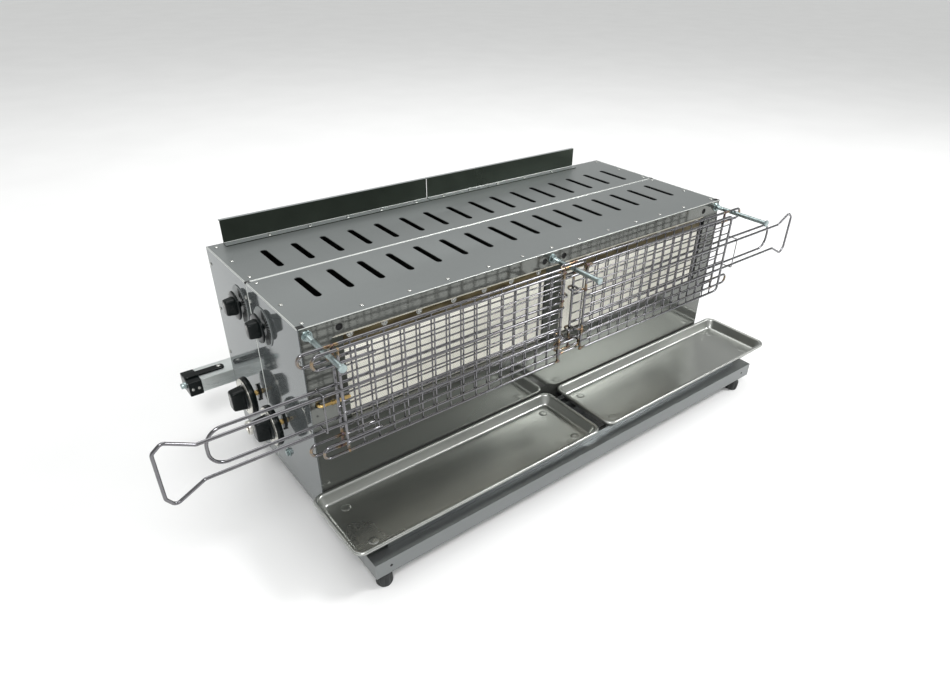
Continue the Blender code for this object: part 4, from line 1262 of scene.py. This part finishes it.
def build_bar_end():
    low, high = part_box("bar_end_block")
    build = bmesh.new()
    add_bevel_box(build, low, high, 0.0022, 4)
    finish_part("bar_end_block", "moulded", build, M["black"], "root")
    low_t, high_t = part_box("bar_tongue")
    build = bmesh.new()
    u_span = (low_t.x - LEFT_X, high_t.x - LEFT_X)
    v_span = (low_t.y - FRONT_Y, high_t.y - FRONT_Y)
    base, top = low_t.z - TOP_Z, high_t.z - TOP_Z
    levels = [(0.0, base, 0.0070), (0.0, top - 0.0008, 0.0070), (0.0006, top, 0.0066)]
    rings = []
    for inset, w, corner in levels:
        spans = [(span[0] + inset, span[1] - inset) for span in (u_span, v_span)]
        rings.append(rounded_rectangle(*spans, w, corner, 8))
    add_rings(build, rings)
    finish_part("bar_tongue", "moulded", build, M["black"], "root")
    build = bmesh.new()
    middle = (low_t.y + high_t.y) / 2
    add_pan_screw(build, Vector((high_t.x - 0.010, middle, high_t.z)), (0, 0, 1), 0.0042, 0.0024, 0.3)
    for x in (low.x + 0.007, high.x - 0.007):
        spot = Vector((x, low.y + 0.0001, (low.z + high.z) / 2))
        add_pan_screw(build, spot, (0, -1, 0), 0.0030, 0.0016, x * 40)
    finish_mesh("bar_end_screws", build, M["screw"], "root")
    stub_low, stub_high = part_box("bar_end_stub")
    centre = Vector((stub_high.x, (stub_low.y + stub_high.y) / 2, (stub_low.z + stub_high.z) / 2))
    build = bmesh.new()
    stub = [(0, 0.0066), (0.0004, 0.0070), (0.0040, 0.0070)]
    stub += [(0.0046, 0.0058), (0.0090, 0.0056), (0.0098, 0.0050)]
    add_turned(build, centre, (-1, 0, 0), stub, 36)
    finish_part("bar_end_stub", "turned", build, M["zinc"], "root")


def build_foot(body, node):
    low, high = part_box(node)
    centre = Vector(((low.x + high.x) / 2, (low.y + high.y) / 2, low.z))
    sides = 64
    build = bmesh.new()
    rings = []
    lobes = 8
    # Height, radius and depth of the hollows between the lobes
    profile = [(0, 0.0118, 0.02), (0.0008, 0.0128, 0.03), (0.0050, 0.0143, 0.12)]
    profile += [(0.0100, 0.0149, 0.16), (0.0150, 0.0149, 0.16), (0.0195, 0.0142, 0.12)]
    profile += [(0.0220, 0.0125, 0.05), (0.0235, 0.0100, 0.0), (0.0260, 0.0096, 0.0)]
    for height, radius, depth in profile:
        ring = []
        for k in range(sides):
            angle = 2 * math.pi * k / sides
            reach = min(radius * (1 - depth * (0.5 - 0.5 * math.cos(lobes * angle)) ** 2), 0.0149)
            ring.append(centre + Vector((math.cos(angle) * reach, math.sin(angle) * reach, height)))
        rings.append(ring)
    add_rings(build, rings)
    finish_part(node, "moulded", build, M["rubber"], body)
    build = bmesh.new()
    profile = [(0.0258, 0.0044)]
    top = high.z - centre.z
    height = 0.0265
    while height < top - 0.001:
        profile += [(height, 0.0044), (height + 0.0005, 0.0039)]
        height += 0.0010
    profile.append((top, 0.0040))
    add_turned(build, centre, (0, 0, 1), profile, 24)
    add_hex_bolt(build, centre + Vector((0, 0, 0.0262)), (0, 0, 1), 0.0075, 0.0045, 0.2)
    finish_mesh(f"{node}_stud", build, M["zinc"], body)


# ---------------------------------------------------------------- studio


def build_studio():
    build = bmesh.new()
    half = 30.0
    corners = ((-half, -half), (half, -half), (half, half), (-half, half))
    build.faces.new([build.verts.new(Vector((x, y, -0.0005))) for x, y in corners])
    mesh = bpy.data.meshes.new("floor")
    build.to_mesh(mesh)
    build.free()
    mesh.materials.append(M["floor"])
    floor = bpy.data.objects.new("floor", mesh)
    bpy.context.scene.collection.objects.link(floor)
    world = bpy.data.worlds.new("studio")
    world.use_nodes = True
    tree = world.node_tree
    background = tree.nodes["Background"]
    coords = tree.nodes.new("ShaderNodeTexCoord")
    separate = tree.nodes.new("ShaderNodeSeparateXYZ")
    ramp = tree.nodes.new("ShaderNodeValToRGB")
    tree.links.new(coords.outputs["Generated"], separate.inputs[0])
    tree.links.new(separate.outputs["Z"], ramp.inputs["Fac"])
    tree.links.new(ramp.outputs["Color"], background.inputs["Color"])
    stops = [(0.0, 0.75), (0.47, 0.60), (0.53, 0.42), (0.66, 0.48), (0.80, 0.72), (1.0, 1.05)]
    elements = ramp.color_ramp.elements
    while len(elements) < len(stops):
        elements.new(0.5)
    for element, (position, level) in zip(elements, stops):
        element.position = position
        element.color = (level, level * 1.01, level, 1)
    background.inputs["Strength"].default_value = 1.0
    bpy.context.scene.world = world
    bpy.context.scene.view_settings.view_transform = "Standard"
    for name, at, aim, size, energy in (
        ("key", (-1.6, -2.2, 3.0), (0, 0, 0.2), 0.9, 60),
        ("fill", (2.4, -2.0, 2.6), (0.2, 0, 0.2), 1.0, 75),
        ("overhead", (0.4, 1.6, 3.4), (0, 0, 0.2), 2.6, 45),
    ):
        light = bpy.data.lights.new(name, "AREA")
        light.shape = "SQUARE"
        light.size = size
        light.energy = energy
        lamp = bpy.data.objects.new(name, light)
        direction = Vector(aim) - Vector(at)
        aimed = direction.to_track_quat("-Z", "Y").to_matrix().to_4x4()
        lamp.matrix_world = Matrix.Translation(at) @ aimed
        bpy.context.scene.collection.objects.link(lamp)


dress_casing()
build_folds()
build_screws()
build_hole_shadows()
build_window_sill()
build_gasket()
build_pilot_tube()
build_rods()
for basket_side in ("left", "right"):
    build_rear_half(basket_side)
    build_front_half(basket_side)
    build_lock_clip(basket_side)
    build_tray(basket_side)
for module_name in ("front", "rear"):
    build_dial(module_name)
    build_tap(module_name)
build_inlet()
build_bar_end()
for body_name, node_name in (
    ("foot_fl", "foot_front_left"),
    ("foot_fr", "foot_front_right"),
    ("foot_rl", "foot_rear_left"),
    ("foot_rr", "foot_rear_right"),
):
    build_foot(body_name, node_name)
build_studio()
